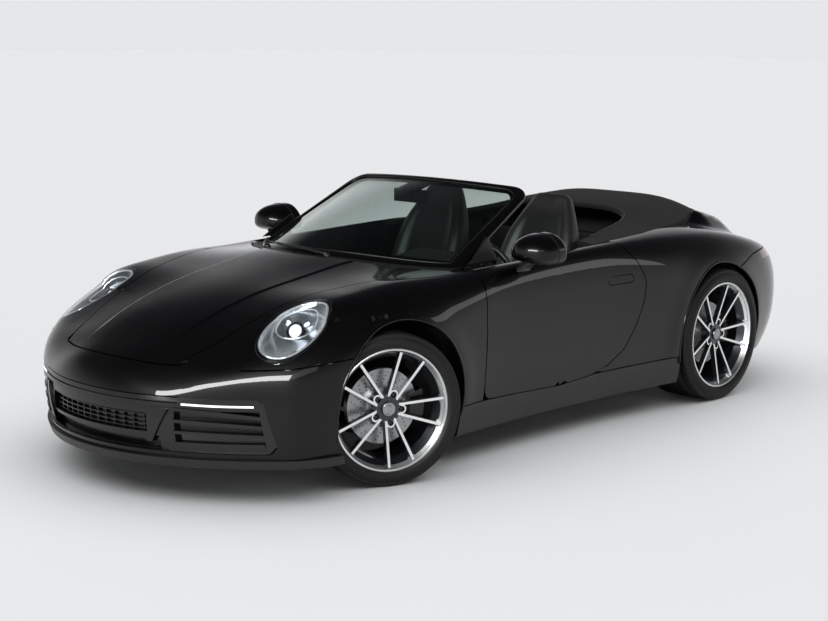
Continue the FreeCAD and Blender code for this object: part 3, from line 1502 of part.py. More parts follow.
def front_seat():
    low, high = seat_x - seat_half, seat_x + seat_half
    cushion = prism(in_sizes(cushion_shares, half_length, deck_height), "side", low, high, seat_corner)
    back = prism(in_sizes(back_shares, half_length, deck_height), "side", low, high, seat_corner)
    taper = [(seat_x + a, b) for a, b in in_sizes(seat_taper_shares, seat_half, deck_height)]
    padded = cushion.fuse(back).common(prism(taper, "front", -half_length, half_length, seat_corner))
    base = prism(in_sizes(seat_base_shares, half_length, deck_height), "side", seat_x - seat_base_half,
                 seat_x + seat_base_half)
    return one_solid(padded.fuse(base).removeSplitter())


def rear_seat():
    low, high = rear_seat_x - rear_seat_half, rear_seat_x + rear_seat_half
    cushion = prism(in_sizes(rear_cushion_shares, half_length, deck_height), "side", low, high)
    back = prism(in_sizes(rear_back_shares, half_length, deck_height), "side", low, high, rear_seat_corner)
    rail_space = block(0, cut_reach, rail_front_y - seat_gap, half_length, 0, rail_high + seat_gap)
    return one_solid(cushion.fuse(back).removeSplitter().cut(rail_space))


# Engine, beams and wheel carriers
def engine_block():
    return block(-engine_half, engine_half, engine_front_y, engine_rear_y, engine_low, engine_high)


def front_beam():
    """The front cross beam with the two lower arms that end under the kingpins."""
    shapes = [block(-front_post_half, front_post_half, front_axle_y - front_post_half,
                    front_axle_y + front_post_half, front_beam_high - tub_wall / 2, bay_low - seat_gap)]
    pin_x = front_track / 2 - kingpin_offset
    height = front_arm_high - front_arm_low
    for side in (-1, 1):
        outline = [(side * front_arm_inner, front_axle_y - front_arm_root), (side * pin_x, front_axle_y - front_arm_tip),
                   (side * pin_x, front_axle_y + front_arm_tip), (side * front_arm_inner, front_axle_y + front_arm_root)]
        shapes.append(prism(outline, "plan", front_arm_low, front_arm_high))
        shapes.append(Part.makeCylinder(front_arm_tip, height, Vector(side * pin_x, front_axle_y, front_arm_low)))
    beam = block(-front_beam_half, front_beam_half, front_axle_y - front_beam_reach, front_axle_y + front_beam_reach,
                 front_beam_low, front_beam_high)
    return one_solid(beam.fuse(shapes).removeSplitter())


def rear_beam():
    """The rear cross beam with its arms, drive shafts, wheel carriers and stub axles."""
    shapes = []
    wheel_centre = rear_track / 2
    stub_end = wheel_centre + disc_place(rear_tyre_width, rear_hub_inset) - disc_bell_wall - kingpin_gap
    for side in (-1, 1):
        outline = [(side * rear_arm_inner, rear_axle_y - rear_arm_root), (side * rear_arm_outer, rear_axle_y - rear_arm_tip),
                   (side * rear_arm_outer, rear_axle_y + rear_arm_tip), (side * rear_arm_inner, rear_axle_y + rear_arm_root)]
        shapes.append(prism(outline, "plan", rear_arm_low, rear_arm_high))
        centre = Vector(side * shaft_inner, rear_axle_y, rear_tyre_radius)
        shapes.append(Part.makeCylinder(shaft_radius, stub_end - shaft_inner, centre, Vector(side, 0, 0)))
        carrier = [(rear_axle_y - rear_carrier_half, rear_carrier_low), (rear_axle_y + rear_carrier_half, rear_carrier_low),
                   (rear_axle_y + rear_carrier_half, rear_carrier_high),
                   (rear_axle_y - rear_carrier_half, rear_carrier_high)]
        shapes.append(prism(carrier, "side", side * rear_carrier_inner, side * rear_carrier_outer, carrier_corner))
    beam = block(-rear_beam_half, rear_beam_half, rear_axle_y - rear_beam_reach, rear_axle_y + rear_beam_reach / 2,
                 rear_beam_low, rail_low - seat_gap)
    return one_solid(beam.fuse(shapes).removeSplitter())


# Door mirrors, seen from ahead in (half width, deck height)
mirror_shell_shares = [(0.918, 1.006), (0.931, 1.072), (1.004, 1.102), (1.080, 1.083), (1.0945, 1.039),
                       (1.080, 1.006), (1.004, 0.989)]
mirror_foot_shares = [(0.891, 0.920), (0.937, 0.920), (0.977, 1.0), (0.929, 1.006)]


def mirror():
    shell = prism(in_sizes(mirror_shell_shares, half_width, deck_height), "front", mirror_front_y, mirror_rear_y,
                  mirror_corner)
    foot = prism(in_sizes(mirror_foot_shares, half_width, deck_height), "front", mirror_foot_front_y,
                 mirror_foot_rear_y)
    return one_solid(shell.fuse(foot).removeSplitter().cut(door_form.core(-seat_gap)))


# Wheels, made straight ahead with the axle along X, outer face to the left
def disc_place(width, inset):
    """The brake disc's outer face, out from the wheel's middle."""
    return width / 2 - rim_bead - disc_setback - inset


def rim(radius, width, inset):
    """The barrel, ten thin spokes in five pairs and the bolted hub."""
    lip = width / 2 - rim_bead
    seat = radius - rim_depth
    well = seat - rim_well
    profile = [(lip, radius), (lip, radius - rim_lip), (lip - rim_slope - rim_lip, seat - rim_wall),
               (lip - rim_face, well - rim_wall), (-lip, well - rim_wall), (-lip, radius), (rim_lip - lip, radius),
               (rim_lip - lip, seat), (rim_slope + rim_depth - lip, well), (lip - rim_face + rim_wall, well),
               (lip - rim_slope, seat), (lip - rim_lip, seat), (lip - rim_lip, radius)]
    barrel = turned(profile, rim_sides)
    face_x = lip - inset
    hub = Part.makeCylinder(hub_radius, hub_depth, Vector(face_x - hub_depth, 0, 0), Vector(1, 0, 0))
    shapes, holes = [], []
    for i in range(spoke_pairs):
        middle = 360.0 / spoke_pairs * i
        for side in (-1, 1):
            shapes.append(spoke(math.radians(middle + side * spoke_root_spread / 2),
                                math.radians(middle + side * spoke_spread / 2),
                                hub_radius - spoke_root_overlap, seat - spoke_tip_overlap, face_x,
                                lip - spoke_tip_inset))
        place = Vector(face_x, bolt_circle * math.sin(math.radians(middle)), bolt_circle * math.cos(math.radians(middle)))
        shapes.append(Part.makeCylinder(bolt_radius + boss_wall, hub_depth, place, Vector(-1, 0, 0)))
        holes.append(Part.makeCylinder(bolt_radius, bolt_pocket, place, Vector(-1, 0, 0)))
    cap = Part.makeCylinder(cap_radius, cap_depth + cap_root, Vector(face_x - cap_root, 0, 0), Vector(1, 0, 0))
    return one_solid(hub.fuse(shapes + [cap]).cut(holes).fuse(barrel))


def spoke(root_turn, tip_turn, root_radius, tip_radius, root_x, tip_x):
    """A straight tapered bar with a narrower face than back."""
    wires = []
    for turn, radius, x, width in ((root_turn, root_radius, root_x, spoke_root_width),
                                   (tip_turn, tip_radius, tip_x, spoke_tip_width)):
        middle = Vector(x, radius * math.sin(turn), radius * math.cos(turn))
        aside = Vector(0, math.cos(turn), -math.sin(turn)) * (width / 2)
        back = Vector(-spoke_depth, 0, 0)
        points = [middle + aside * spoke_face_share, middle - aside * spoke_face_share,
                  middle + back - aside, middle + back + aside]
        wires.append(Part.makePolygon(points + [points[0]]))
    return Part.makeLoft(wires, True, True)


def tyre(radius, width, rim_radius):
    half = width / 2
    bead = half - rim_bead
    inner = [(bead - bead_width, rim_radius - rim_depth + bead_gap),
             (bead - bead_width + bead_slope, rim_radius + seat_gap),
             (bead + rim_bead / 2, rim_radius + tyre_side_step), (half, rim_radius + tyre_bulge),
             (half - tyre_side_step, radius - tyre_shoulder_drop), (half - tyre_shoulder, radius)]
    return turned(inner + [(-a, r) for a, r in reversed(inner)], tyre_sides)


def disc(x, hub_back):
    """A brake disc with its bell, its outer face at x."""
    axle = Vector(1, 0, 0)
    start = Vector(x - disc_thickness, 0, 0)
    plate = Part.makeCylinder(disc_radius, disc_thickness, start, axle)
    plate = plate.cut(Part.makeCylinder(disc_bell_radius - disc_bell_wall, disc_thickness, start, axle))
    bell_x = x - disc_bell_wall
    bell = Part.makeCylinder(disc_bell_radius, hub_back - seat_gap - bell_x, Vector(bell_x, 0, 0), axle)
    return one_solid(plate.fuse(bell).removeSplitter())


def knuckle(x):
    """The front hub carrier and stub axle with its caliper behind the axle, x at the disc's outer face."""
    axle = Vector(1, 0, 0)
    inner_face = x - disc_thickness
    low = front_arm_high + kingpin_gap - front_tyre_radius
    upright = prism([(-carrier_foot, low), (carrier_foot, low), (carrier_head, carrier_high),
                     (-carrier_head, carrier_high)], "side", x - carrier_inner, inner_face - carrier_outer_gap)
    stub_end = x - disc_bell_wall - kingpin_gap
    stub = Part.makeCylinder(carrier_corner, stub_end - x + carrier_inner, Vector(x - carrier_inner, 0, 0), axle)
    start = Vector(inner_face - caliper_cover, 0, 0)
    length = disc_thickness + 2 * caliper_cover
    outer = Part.makeCylinder(disc_radius + caliper_rise, length, start, axle)
    inner = Part.makeCylinder(disc_radius - caliper_drop, length, start, axle)
    slot = Part.makeCylinder(disc_radius + caliper_slot_rise, disc_thickness + 2 * caliper_slot_gap,
                             Vector(inner_face - caliper_slot_gap, 0, 0), axle)
    far = disc_radius * 2
    wedge = prism([(0.0, 0.0), (far, -far * caliper_share / 2), (far, far * caliper_share / 2)], "side",
                  start.x, start.x + length)
    caliper = outer.cut([inner, slot]).common(wedge)
    bridge = block(start.x, start.x + bridge_thickness, 0, disc_radius - caliper_drop / 2, -bridge_half, bridge_half)
    return one_solid(upright.fuse([stub, caliper, bridge]).removeSplitter())


def placed(shape, side, track, axle_y, axle_z, turn):
    """A left-hand wheel piece moved to its corner; the right one is its mirror image."""
    shape = shape.copy()
    shape.translate(Vector(kingpin_offset, 0, 0))
    if side < 0:
        shape = mirrored(shape)
    shape.rotate(Vector(0, 0, 0), Vector(0, 0, 1), -turn)
    shape.translate(Vector(side * (track / 2 - kingpin_offset), axle_y, axle_z))
    return shape


os.makedirs("parts", exist_ok=True)
for name, make in (("wing", wing), ("door", door), ("quarter", quarter), ("mirror", mirror)):
    left = make()
    save(name + "_left", [left])
    save(name + "_right", [mirrored(left)])
for name, make in (("bonnet", bonnet), ("engine_lid", engine_lid), ("rear_spoiler", rear_spoiler),
                   ("cowl", cowl), ("front_bumper", front_bumper), ("front_grille", front_grille),
                   ("front_lip", front_lip), ("tail_lamps", tail_lamps), ("rear_bumper", rear_bumper),
                   ("rear_diffuser", rear_diffuser), ("exhaust", exhaust), ("windscreen_frame", windscreen_frame),
                   ("windscreen", windscreen), ("inside_mirror", inside_mirror),
                   ("tonneau_cover", tonneau_cover), ("floor_tub", floor_tub), ("dashboard", dashboard),
                   ("steering_wheel", steering_wheel), ("engine_block", engine_block),
                   ("front_beam", front_beam), ("rear_beam", rear_beam)):
    save(name, [make()])
save("headlamp_units", pair([headlamp_unit()]))
save("headlamp_lenses", headlamp_lenses())
save("sill_skirts", sill_skirts())
save("wipers", wipers())
save("front_seats", pair([front_seat()]))
save("rear_seats", pair([rear_seat()]))
for end, track, axle_y, radius, width, rim_radius, inset, turn in (
        ("front", front_track, front_axle_y, front_tyre_radius, front_tyre_width, front_rim_radius, hub_inset,
         steer_angle),
        ("rear", rear_track, rear_axle_y, rear_tyre_radius, rear_tyre_width, rear_rim_radius, rear_hub_inset, 0.0)):
    disc_x = disc_place(width, inset)
    hub_back = width / 2 - rim_bead - inset - hub_depth
    pieces = {"rim": rim(rim_radius, width, inset), "tyre": tyre(radius, width, rim_radius),
              "disc": disc(disc_x, hub_back)}
    if end == "front":
        pieces["knuckle"] = knuckle(disc_x)
    for name, shape in pieces.items():
        for side, hand in ((1, "left"), (-1, "right")):
            save(name + "_" + end + "_" + hand, [placed(shape, side, track, axle_y, radius, turn)])
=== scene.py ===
import math

import bmesh
import bpy
import json
import numpy as np
from mathutils import Matrix, Vector

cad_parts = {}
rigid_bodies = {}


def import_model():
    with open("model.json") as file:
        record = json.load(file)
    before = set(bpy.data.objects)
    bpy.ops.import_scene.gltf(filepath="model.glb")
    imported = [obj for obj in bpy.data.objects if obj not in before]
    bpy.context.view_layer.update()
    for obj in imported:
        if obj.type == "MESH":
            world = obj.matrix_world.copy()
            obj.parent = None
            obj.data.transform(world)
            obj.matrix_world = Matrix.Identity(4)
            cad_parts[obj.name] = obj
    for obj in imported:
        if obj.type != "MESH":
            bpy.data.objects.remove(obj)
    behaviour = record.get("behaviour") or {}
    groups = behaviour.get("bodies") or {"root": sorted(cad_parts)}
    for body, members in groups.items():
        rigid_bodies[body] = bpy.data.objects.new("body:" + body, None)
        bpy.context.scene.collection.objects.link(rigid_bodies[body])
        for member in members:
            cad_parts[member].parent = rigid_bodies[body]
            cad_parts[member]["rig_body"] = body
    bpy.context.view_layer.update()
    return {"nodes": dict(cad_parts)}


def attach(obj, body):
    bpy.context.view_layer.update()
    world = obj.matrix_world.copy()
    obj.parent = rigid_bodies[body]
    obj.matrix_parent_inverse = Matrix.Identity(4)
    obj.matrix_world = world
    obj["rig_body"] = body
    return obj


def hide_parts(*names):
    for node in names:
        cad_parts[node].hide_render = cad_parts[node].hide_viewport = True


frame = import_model()
mm = 0.001

# Sizes of the car that its solids were made from, in millimetres
half_length = 2259.5
half_width = 926.0
deck_height = 900.0
widest_height = 520.0
sill_height = 140.0
front_axle_y = -1256.5
rear_axle_y = 1193.5
front_tyre_radius = 334.0
rear_tyre_radius = 351.0
front_arch_radius = 380.0
rear_arch_radius = 385.0

# Powers, rounds and blends of the body's form
crest_power = 1.4
crest_roll = 330.0
lean_power = 2.4
sill_tuck = 42.0
arch_flare = 8.0
flare_margin = 15.0
flare_spread = 70.0
nose_blend = 150.0
tail_blend = 110.0


# The body's outer form
class Curve:
    """A natural cubic spline through (place share, value share) pairs, read for whole arrays."""

    def __init__(self, shares, place_size, value_size):
        """The bends at the pairs, from the spline's equations, with none at its two ends."""
        pairs = np.array(shares, float)
        self.place = pairs[:, 0] * place_size
        self.value = pairs[:, 1] * value_size
        count = len(pairs)
        step = np.diff(self.place)
        rise = np.diff(self.value) / step
        matrix = np.eye(count)
        right = np.zeros(count)
        for i in range(1, count - 1):
            matrix[i, i - 1:i + 2] = step[i - 1], 2 * (step[i - 1] + step[i]), step[i]
            right[i] = 6 * (rise[i] - rise[i - 1])
        self.bend = np.linalg.solve(matrix, right)
        self.step = step

    def __call__(self, place):
        """The cubic between the two nearest pairs, held at the ends."""
        place = np.clip(place, self.place[0], self.place[-1])
        i = np.clip(np.searchsorted(self.place, place, side="right") - 1, 0, len(self.step) - 1)
        step, after, before = self.step[i], self.place[i + 1] - place, place - self.place[i]
        cubic = self.bend[i] * after ** 3 + self.bend[i + 1] * before ** 3
        return (cubic / (6 * step) + (self.value[i] / step - self.bend[i] * step / 6) * after
                + (self.value[i + 1] / step - self.bend[i + 1] * step / 6) * before)


def both_ways(half_shares):
    """Pairs from the middle outwards, with their mirror image."""
    return [(-a, b) for a, b in reversed(half_shares[1:])] + half_shares


centre_shares = [(-1.02, 0.45), (-1.0, 0.505), (-0.97, 0.589), (-0.94, 0.638), (-0.90, 0.686),
                 (-0.84, 0.758), (-0.79, 0.806), (-0.75, 0.837), (-0.66, 0.892), (-0.60, 0.921),
                 (-0.52, 0.959), (-0.44, 0.996), (-0.37, 1.012), (-0.28, 1.012), (-0.13, 1.005),
                 (0.13, 1.02), (0.40, 1.06), (0.62, 1.083), (0.71, 1.046), (0.80, 0.988),
                 (0.885, 0.918), (0.94, 0.868), (1.02, 0.78)]
crest_shares = [(-1.02, 0.33), (-0.94, 0.52), (-0.907, 0.605), (-0.861, 0.670), (-0.822, 0.722),
                (-0.76, 0.800), (-0.70, 0.864), (-0.645, 0.902), (-0.59, 0.921), (-0.523, 0.940),
                (-0.45, 0.948), (-0.376, 0.948), (-0.28, 0.954), (-0.13, 0.966),
                (0.0, 0.980), (0.18, 0.998), (0.31, 1.009), (0.44, 1.013), (0.575, 0.995),
                (0.71, 0.940), (0.80, 0.883), (0.885, 0.822), (0.94, 0.778), (1.02, 0.70)]
crest_place_shares = [(-1.02, 0.64), (-0.84, 0.70), (-0.66, 0.745), (-0.556, 0.756), (-0.32, 0.794),
                      (0.0, 0.832), (0.27, 0.832), (0.53, 0.80), (0.71, 0.756), (1.02, 0.67)]
valley_shares = [(-1.02, 0.0), (-0.84, 0.003), (-0.66, 0.006), (-0.44, 0.005), (-0.31, 0.003),
                 (0.0, 0.0), (0.62, 0.007), (0.80, 0.011), (1.02, 0.004)]
width_shares = [(-1.02, 0.977), (-0.75, 0.994), (-0.556, 1.0), (-0.40, 0.987), (-0.265, 0.964),
                (-0.09, 0.951), (0.09, 0.954), (0.22, 0.969), (0.35, 0.991), (0.487, 1.0),
                (0.62, 1.0), (0.75, 0.985), (0.885, 0.948), (1.02, 0.89)]
lean_shares = [(-1.02, 0.194), (-0.75, 0.130), (-0.556, 0.103), (-0.31, 0.099), (-0.09, 0.095),
               (0.18, 0.095), (0.40, 0.108), (0.62, 0.130), (1.02, 0.184)]
shoulder_shares = [(-1.02, 0.26), (-0.75, 0.26), (-0.556, 0.248), (-0.40, 0.184), (-0.265, 0.108),
                   (0.0, 0.076), (0.13, 0.097), (0.31, 0.205), (0.53, 0.302), (0.75, 0.281),
                   (1.02, 0.216)]
front_bow_half_shares = [(0.0, 0.0), (0.216, 0.0097), (0.432, 0.0407), (0.54, 0.0646),
                         (0.648, 0.094), (0.756, 0.131), (0.842, 0.164), (0.94, 0.217),
                         (1.0, 0.283), (1.08, 0.398)]
rear_bow_half_shares = [(0.0, 0.0), (0.324, 0.0115), (0.54, 0.0398), (0.756, 0.0996),
                        (0.842, 0.146), (0.929, 0.221), (1.0, 0.319), (1.08, 0.443)]
front_lean_shares = [(0.11, 0.031), (0.22, 0.0133), (0.333, 0.0035), (0.478, 0.0), (0.567, 0.0035),
                     (0.644, 0.0177), (0.711, 0.0443), (0.822, 0.115)]
rear_lean_shares = [(0.11, 0.115), (0.222, 0.0664), (0.333, 0.0266), (0.467, 0.0035), (0.578, 0.0),
                    (0.667, 0.0044), (0.778, 0.0212), (0.867, 0.0398), (0.944, 0.0553),
                    (1.056, 0.0797)]
centre_height = Curve(centre_shares, half_length, deck_height)
crest_height = Curve(crest_shares, half_length, deck_height)
crest_place = Curve(crest_place_shares, half_length, half_width)
valley_depth = Curve(valley_shares, half_length, deck_height)
width_at = Curve(width_shares, half_length, half_width)
lean_at = Curve(lean_shares, half_length, half_width)
shoulder_at = Curve(shoulder_shares, half_length, half_width)
front_bow = Curve(both_ways(front_bow_half_shares), half_width, half_length)
rear_bow = Curve(both_ways(rear_bow_half_shares), half_width, half_length)
front_lean = Curve(front_lean_shares, deck_height, half_length)
rear_lean = Curve(rear_lean_shares, deck_height, half_length)


def smooth_max(a, b, reach):
    """The larger of two fields, rounded where they are within a reach of each other."""
    near = np.maximum(reach - np.abs(a - b), 0.0) / reach
    return np.maximum(a, b) + near ** 3 * reach / 6


def deck_top(x, y):
    """Centre height to crest height by a power of a raised cosine, less a valley, and rolled off
    past the crest by the square of the distance."""
    crest = crest_place(y)
    out = 0.5 - 0.5 * np.cos(np.pi * np.minimum(np.abs(x), crest) / crest)
    blend = out ** crest_power
    valley = valley_depth(y) * 4 * out * (1 - out)
    z = centre_height(y) * (1 - blend) + crest_height(y) * blend - valley
    return z - np.maximum(np.abs(x) - crest, 0) ** 2 / (2 * crest_roll)


def side_reach(y, z):
    """Half width less a power of the height from the widest line, plus a bell round each arch."""
    high = np.maximum(z - widest_height, 0) / (deck_height - widest_height)
    low = np.maximum(widest_height - z, 0) / (widest_height - sill_height)
    reach = width_at(y) - lean_at(y) * high ** lean_power - sill_tuck * low ** lean_power
    for axle_y, axle_z, radius in ((front_axle_y, front_tyre_radius, front_arch_radius),
                                   (rear_axle_y, rear_tyre_radius, rear_arch_radius)):
        away = np.hypot(y - axle_y, z - axle_z) - radius - flare_margin
        reach = reach + arch_flare * np.exp(-(away / flare_spread) ** 2)
    return reach


def body_gap(p):
    """Rounded maximum of the deck, the flanks, the nose and the tail, each as a distance."""
    x, y, z = p[..., 0], p[..., 1], p[..., 2]
    top = deck_top(x, y)
    above = (z - top) / np.sqrt(
        1 + (deck_top(x + 1, y) - top) ** 2 + (deck_top(x, y + 1) - top) ** 2)
    ahead = (front_bow(x) + front_lean(z) - half_length - y) / np.sqrt(
        1 + (front_bow(x + 1) - front_bow(x)) ** 2 + (front_lean(z + 1) - front_lean(z)) ** 2)
    behind = (y - half_length + rear_bow(x) + rear_lean(z)) / np.sqrt(
        1 + (rear_bow(x + 1) - rear_bow(x)) ** 2 + (rear_lean(z + 1) - rear_lean(z)) ** 2)
    gap = smooth_max(above, np.abs(x) - side_reach(y, z), shoulder_at(y))
    return smooth_max(smooth_max(gap, ahead, nose_blend), behind, tail_blend)


def slope(field, p):
    """The field's gradient by central steps of 1 mm."""
    step = np.eye(3)
    return np.stack([field(p + step[i]) - field(p - step[i]) for i in range(3)], -1) / 2


def eased(value):
    """Smoothstep of a value held between 0 and 1."""
    value = np.clip(value, 0.0, 1.0)
    return value * value * (3 - 2 * value)


# Two creases along the bonnet, which stands a little higher between them
crease_shares = [(-0.93, 0.26), (-0.79, 0.283), (-0.70, 0.295), (-0.60, 0.310), (-0.50, 0.322),
                 (-0.43, 0.33)]
crease_place = Curve(crease_shares, half_length, half_width)
crease_rise = 5.0
crease_width = 16.0
crease_start_y = -2080.0
crease_fade = 260.0


def bonnet_gap(p):
    """The body form, raised by smoothsteps across each crease and along from the nose."""
    x, y = p[..., 0], p[..., 1]
    inside = eased((crease_place(y) - np.abs(x)) / crease_width + 0.5)
    fade = eased((y - crease_start_y) / crease_fade)
    return body_gap(p) - crease_rise * inside * fade


# Rear deck on each side of the engine lid's middle: where its lift begins, and over what length
lift_height = 78.0
lift_rise_y, lift_rise = 1380.0, 180.0
lift_fall_y, lift_fall = 1700.0, 380.0
lift_outer_x, lift_outer_fade = 640.0, 150.0
lift_inner_x, lift_inner_fade = 100.0, 300.0
lift_low_z, lift_low_fade = 720.0, 180.0


def rear_gap(p):
    """The body form with its rear deck lifted by a product of smoothsteps in x, y and z."""
    x, y, z = np.abs(p[..., 0]), p[..., 1], p[..., 2]
    along = eased((y - lift_rise_y) / lift_rise) * (1 - eased((y - lift_fall_y) / lift_fall))
    across = (eased((lift_outer_x - x) / lift_outer_fade)
              * eased((x - lift_inner_x) / lift_inner_fade))
    lift = lift_height * along * across * eased((z - lift_low_z) / lift_low_fade)
    return body_gap(p - np.stack([np.zeros_like(x), np.zeros_like(x), lift], -1))


# Roof cover
cover_profile = Curve([(0.10, 1.02), (0.30, 1.055), (0.40, 1.085), (0.46, 1.113), (0.51, 1.135),
                       (0.58, 1.151), (0.642, 1.155), (0.69, 1.120), (0.725, 1.068),
                       (0.75, 1.030), (0.78, 0.99)], half_length, deck_height)
cover_edge = Curve([(0.10, 0.990), (0.149, 0.994), (0.241, 1.003), (0.39, 1.013), (0.51, 1.021),
                    (0.60, 1.030), (0.668, 1.028), (0.72, 1.020), (0.78, 0.99)],
                   half_length, deck_height)
cover_half = Curve([(0.10, 0.78), (0.149, 0.775), (0.241, 0.762), (0.39, 0.705), (0.51, 0.652),
                    (0.60, 0.60), (0.78, 0.55)], half_length, half_width)
cover_side_share = 1.15
cover_power = 4


def cover_height(x, y):
    """Edge height to crown height by the fourth power of the share across."""
    out = np.minimum(np.abs(x) / cover_half(y), cover_side_share) ** cover_power
    edge = cover_edge(y)
    return edge + (cover_profile(y) - edge) * (1 - out)


def cover_gap(p):
    """Height over the cover."""
    return p[..., 2] - cover_height(p[..., 0], p[..., 1])


# Windscreen
screen_base_x = 675.0
screen_base_y = -990.0
screen_base_sweep = 358.0
screen_head_x = 593.0
screen_head_y = -110.0
screen_head_z = 1205.0
screen_head_sweep = 83.0
screen_head_drop = 24.0
screen_crown = 26.0
crown_way = np.array([0, -0.45, 0.89])


def screen_point(u, v):
    """A bowed foot line to a bowed head line, crowned between them."""
    base_y = screen_base_y + screen_base_sweep * u * u
    base = np.stack([u * screen_base_x, base_y, deck_top(u * screen_base_x, base_y)], -1)
    head = np.stack([u * screen_head_x, screen_head_y + screen_head_sweep * u * u,
                     screen_head_z - screen_head_drop * u * u], -1)
    crown = (screen_crown * 4 * v * (1 - v) * (1 - u * u))[..., None] * crown_way
    return base * (1 - v[..., None]) + head * v[..., None] + crown


# Materials
def linear(code):
    """An sRGB hex colour as linear values."""
    shares = [int(code[i:i + 2], 16) / 255 for i in (1, 3, 5)]
    return tuple(s / 12.92 if s <= 0.04045 else ((s + 0.055) / 1.055) ** 2.4
                 for s in shares) + (1.0,)


def add_node(tree, kind, values=None, wires=None, **settings):
    """One node with its settings, its socket values and the links into it."""
    node = tree.nodes.new("ShaderNode" + kind)
    for name, value in settings.items():
        setattr(node, name, value)
    for name, value in (values or {}).items():
        node.inputs[name].default_value = value
    for name, source in (wires or {}).items():
        tree.links.new(source, node.inputs[name])
    return node


def new_finish(name, colour, roughness, metallic=0.0, **sockets):
    """A material with one surface shader, its colour as sRGB hex."""
    material = bpy.data.materials.new(name)
    material.use_nodes = True
    shader = material.node_tree.nodes["Principled BSDF"]
    shader.inputs["Base Color"].default_value = linear(colour)
    shader.inputs["Roughness"].default_value = roughness
    shader.inputs["Metallic"].default_value = metallic
    for key, value in sockets.items():
        shader.inputs[key.replace("_", " ")].default_value = value
    material.diffuse_color = linear(colour)
    return material


cloudy = {"Detail": 3.0}
smooth = {"Detail": 1.0}
felted = {"Detail": 6.0}


def pattern(material, kind, size_mm, values=None, output=0, **settings):
    """A texture of any kind over the piece's own place, its scale from a size in millimetres."""
    tree = material.node_tree
    place = add_node(tree, "TexCoord").outputs["Object"]
    texture = add_node(tree, "Tex" + kind, {"Scale": 1000.0 / size_mm, **(values or {})},
                       {"Vector": place}, **settings)
    return texture.outputs[output]


def raise_grain(material, height, strength, distance):
    """A height field into the shader's normal."""
    tree = material.node_tree
    bump = add_node(tree, "Bump", {"Strength": strength, "Distance": distance}, {"Height": height})
    tree.links.new(bump.outputs["Normal"], tree.nodes["Principled BSDF"].inputs["Normal"])


def vary(material, source, low, high, socket="Roughness"):
    """A pattern from 0 to 1 spread between two values of a socket."""
    tree = material.node_tree
    spread = add_node(tree, "MapRange", {"To Min": low, "To Max": high}, {"Value": source})
    tree.links.new(spread.outputs["Result"], tree.nodes["Principled BSDF"].inputs[socket])


# Clear-coated black paint: deep, mirror-like, with a trace of orange peel 5 mm across
black_paint = new_finish("black_clearcoat_paint", "#030304", 0.4, Specular_IOR_Level=0.1,
                         Coat_Weight=1.0, Coat_Roughness=0.02, Coat_IOR=1.30)
raise_grain(black_paint, pattern(black_paint, "Noise", 6.0, smooth), 0.02, 0.0002)

# Gloss black ABS: a little softer than the paint
gloss_plastic = new_finish("gloss_black_abs", "#050506", 0.09)
vary(gloss_plastic, pattern(gloss_plastic, "Noise", 60.0, cloudy), 0.06, 0.13)

# Textured polypropylene of grilles, skirts and cowl: satin, with a fine moulded grain
satin_plastic = new_finish("satin_black_polypropylene", "#0b0b0c", 0.42)
raise_grain(satin_plastic, pattern(satin_plastic, "Noise", 1.6, cloudy), 0.25, 0.0004)
vary(satin_plastic, pattern(satin_plastic, "Noise", 90.0, cloudy), 0.36, 0.5)

# Painted front insert: between gloss and satin
insert_plastic = new_finish("semi_gloss_black_insert", "#070708", 0.24)
vary(insert_plastic, pattern(insert_plastic, "Noise", 70.0, cloudy), 0.18, 0.3)

# Soft-touch dashboard skin, slush moulded with a pebbled grain of about 2.4 mm
dash_skin = new_finish("slush_moulded_dash_skin", "#111113", 0.55)
dash_pebble_mm = 1000 / 420
raise_grain(dash_skin, pattern(dash_skin, "Voronoi", dash_pebble_mm, None, "Distance"), 0.25,
            0.0006)

# Corrected-grain black leather: pebbles of about 1.8 mm, a soft sheen, shinier where it is worn
leather = new_finish("black_nappa_leather", "#0a0a0b", 0.46, Sheen_Weight=0.08)
leather_pebble_mm = 1000 / 560
raise_grain(leather, pattern(leather, "Voronoi", leather_pebble_mm, None, "Distance"), 0.3,
            0.0005)
vary(leather, pattern(leather, "Noise", 120.0, cloudy), 0.34, 0.52)

# Woven acrylic roofing: a plain weave, its threads drawn 8 mm apart so that they show. The wave
# texture counts 20 radians to a unit of its scale, so the scale's own size is about 26 mm.
weave_unit_mm = 1000 / 38
roof_cloth = new_finish("woven_acrylic_roofing", "#0b0b0c", 0.9, Specular_IOR_Level=0.25,
                        Sheen_Weight=0.04)
cloth_tree = roof_cloth.node_tree
warp, weft = (pattern(roof_cloth, "Wave", weave_unit_mm, {"Distortion": 0.4, "Detail": 1.0},
                      "Fac", bands_direction=way) for way in "XY")
weave = add_node(cloth_tree, "Math", None, {0: warp, 1: weft}, operation="MULTIPLY")
raise_grain(roof_cloth, weave.outputs[0], 0.6, 0.0012)
shade = add_node(cloth_tree, "MixRGB",
                 {"Color1": linear("#070708"), "Color2": linear("#121214")},
                 {"Fac": pattern(roof_cloth, "Noise", 3.0, cloudy)})
cloth_tree.links.new(shade.outputs[0], cloth_tree.nodes["Principled BSDF"].inputs["Base Color"])

# Needle-punched carpet: matt, with a coarse felted nap
carpet = new_finish("needle_punched_carpet", "#0c0c0d", 0.95)
raise_grain(carpet, pattern(carpet, "Noise", 2.5, felted), 0.8, 0.002)

# Turned face of the cast wheels: bright aluminium, a little uneven in its shine
turned_face = new_finish("turned_aluminium", "#eceded", 0.3, 1.0)
vary(turned_face, pattern(turned_face, "Noise", 25.0, cloudy), 0.26, 0.38)

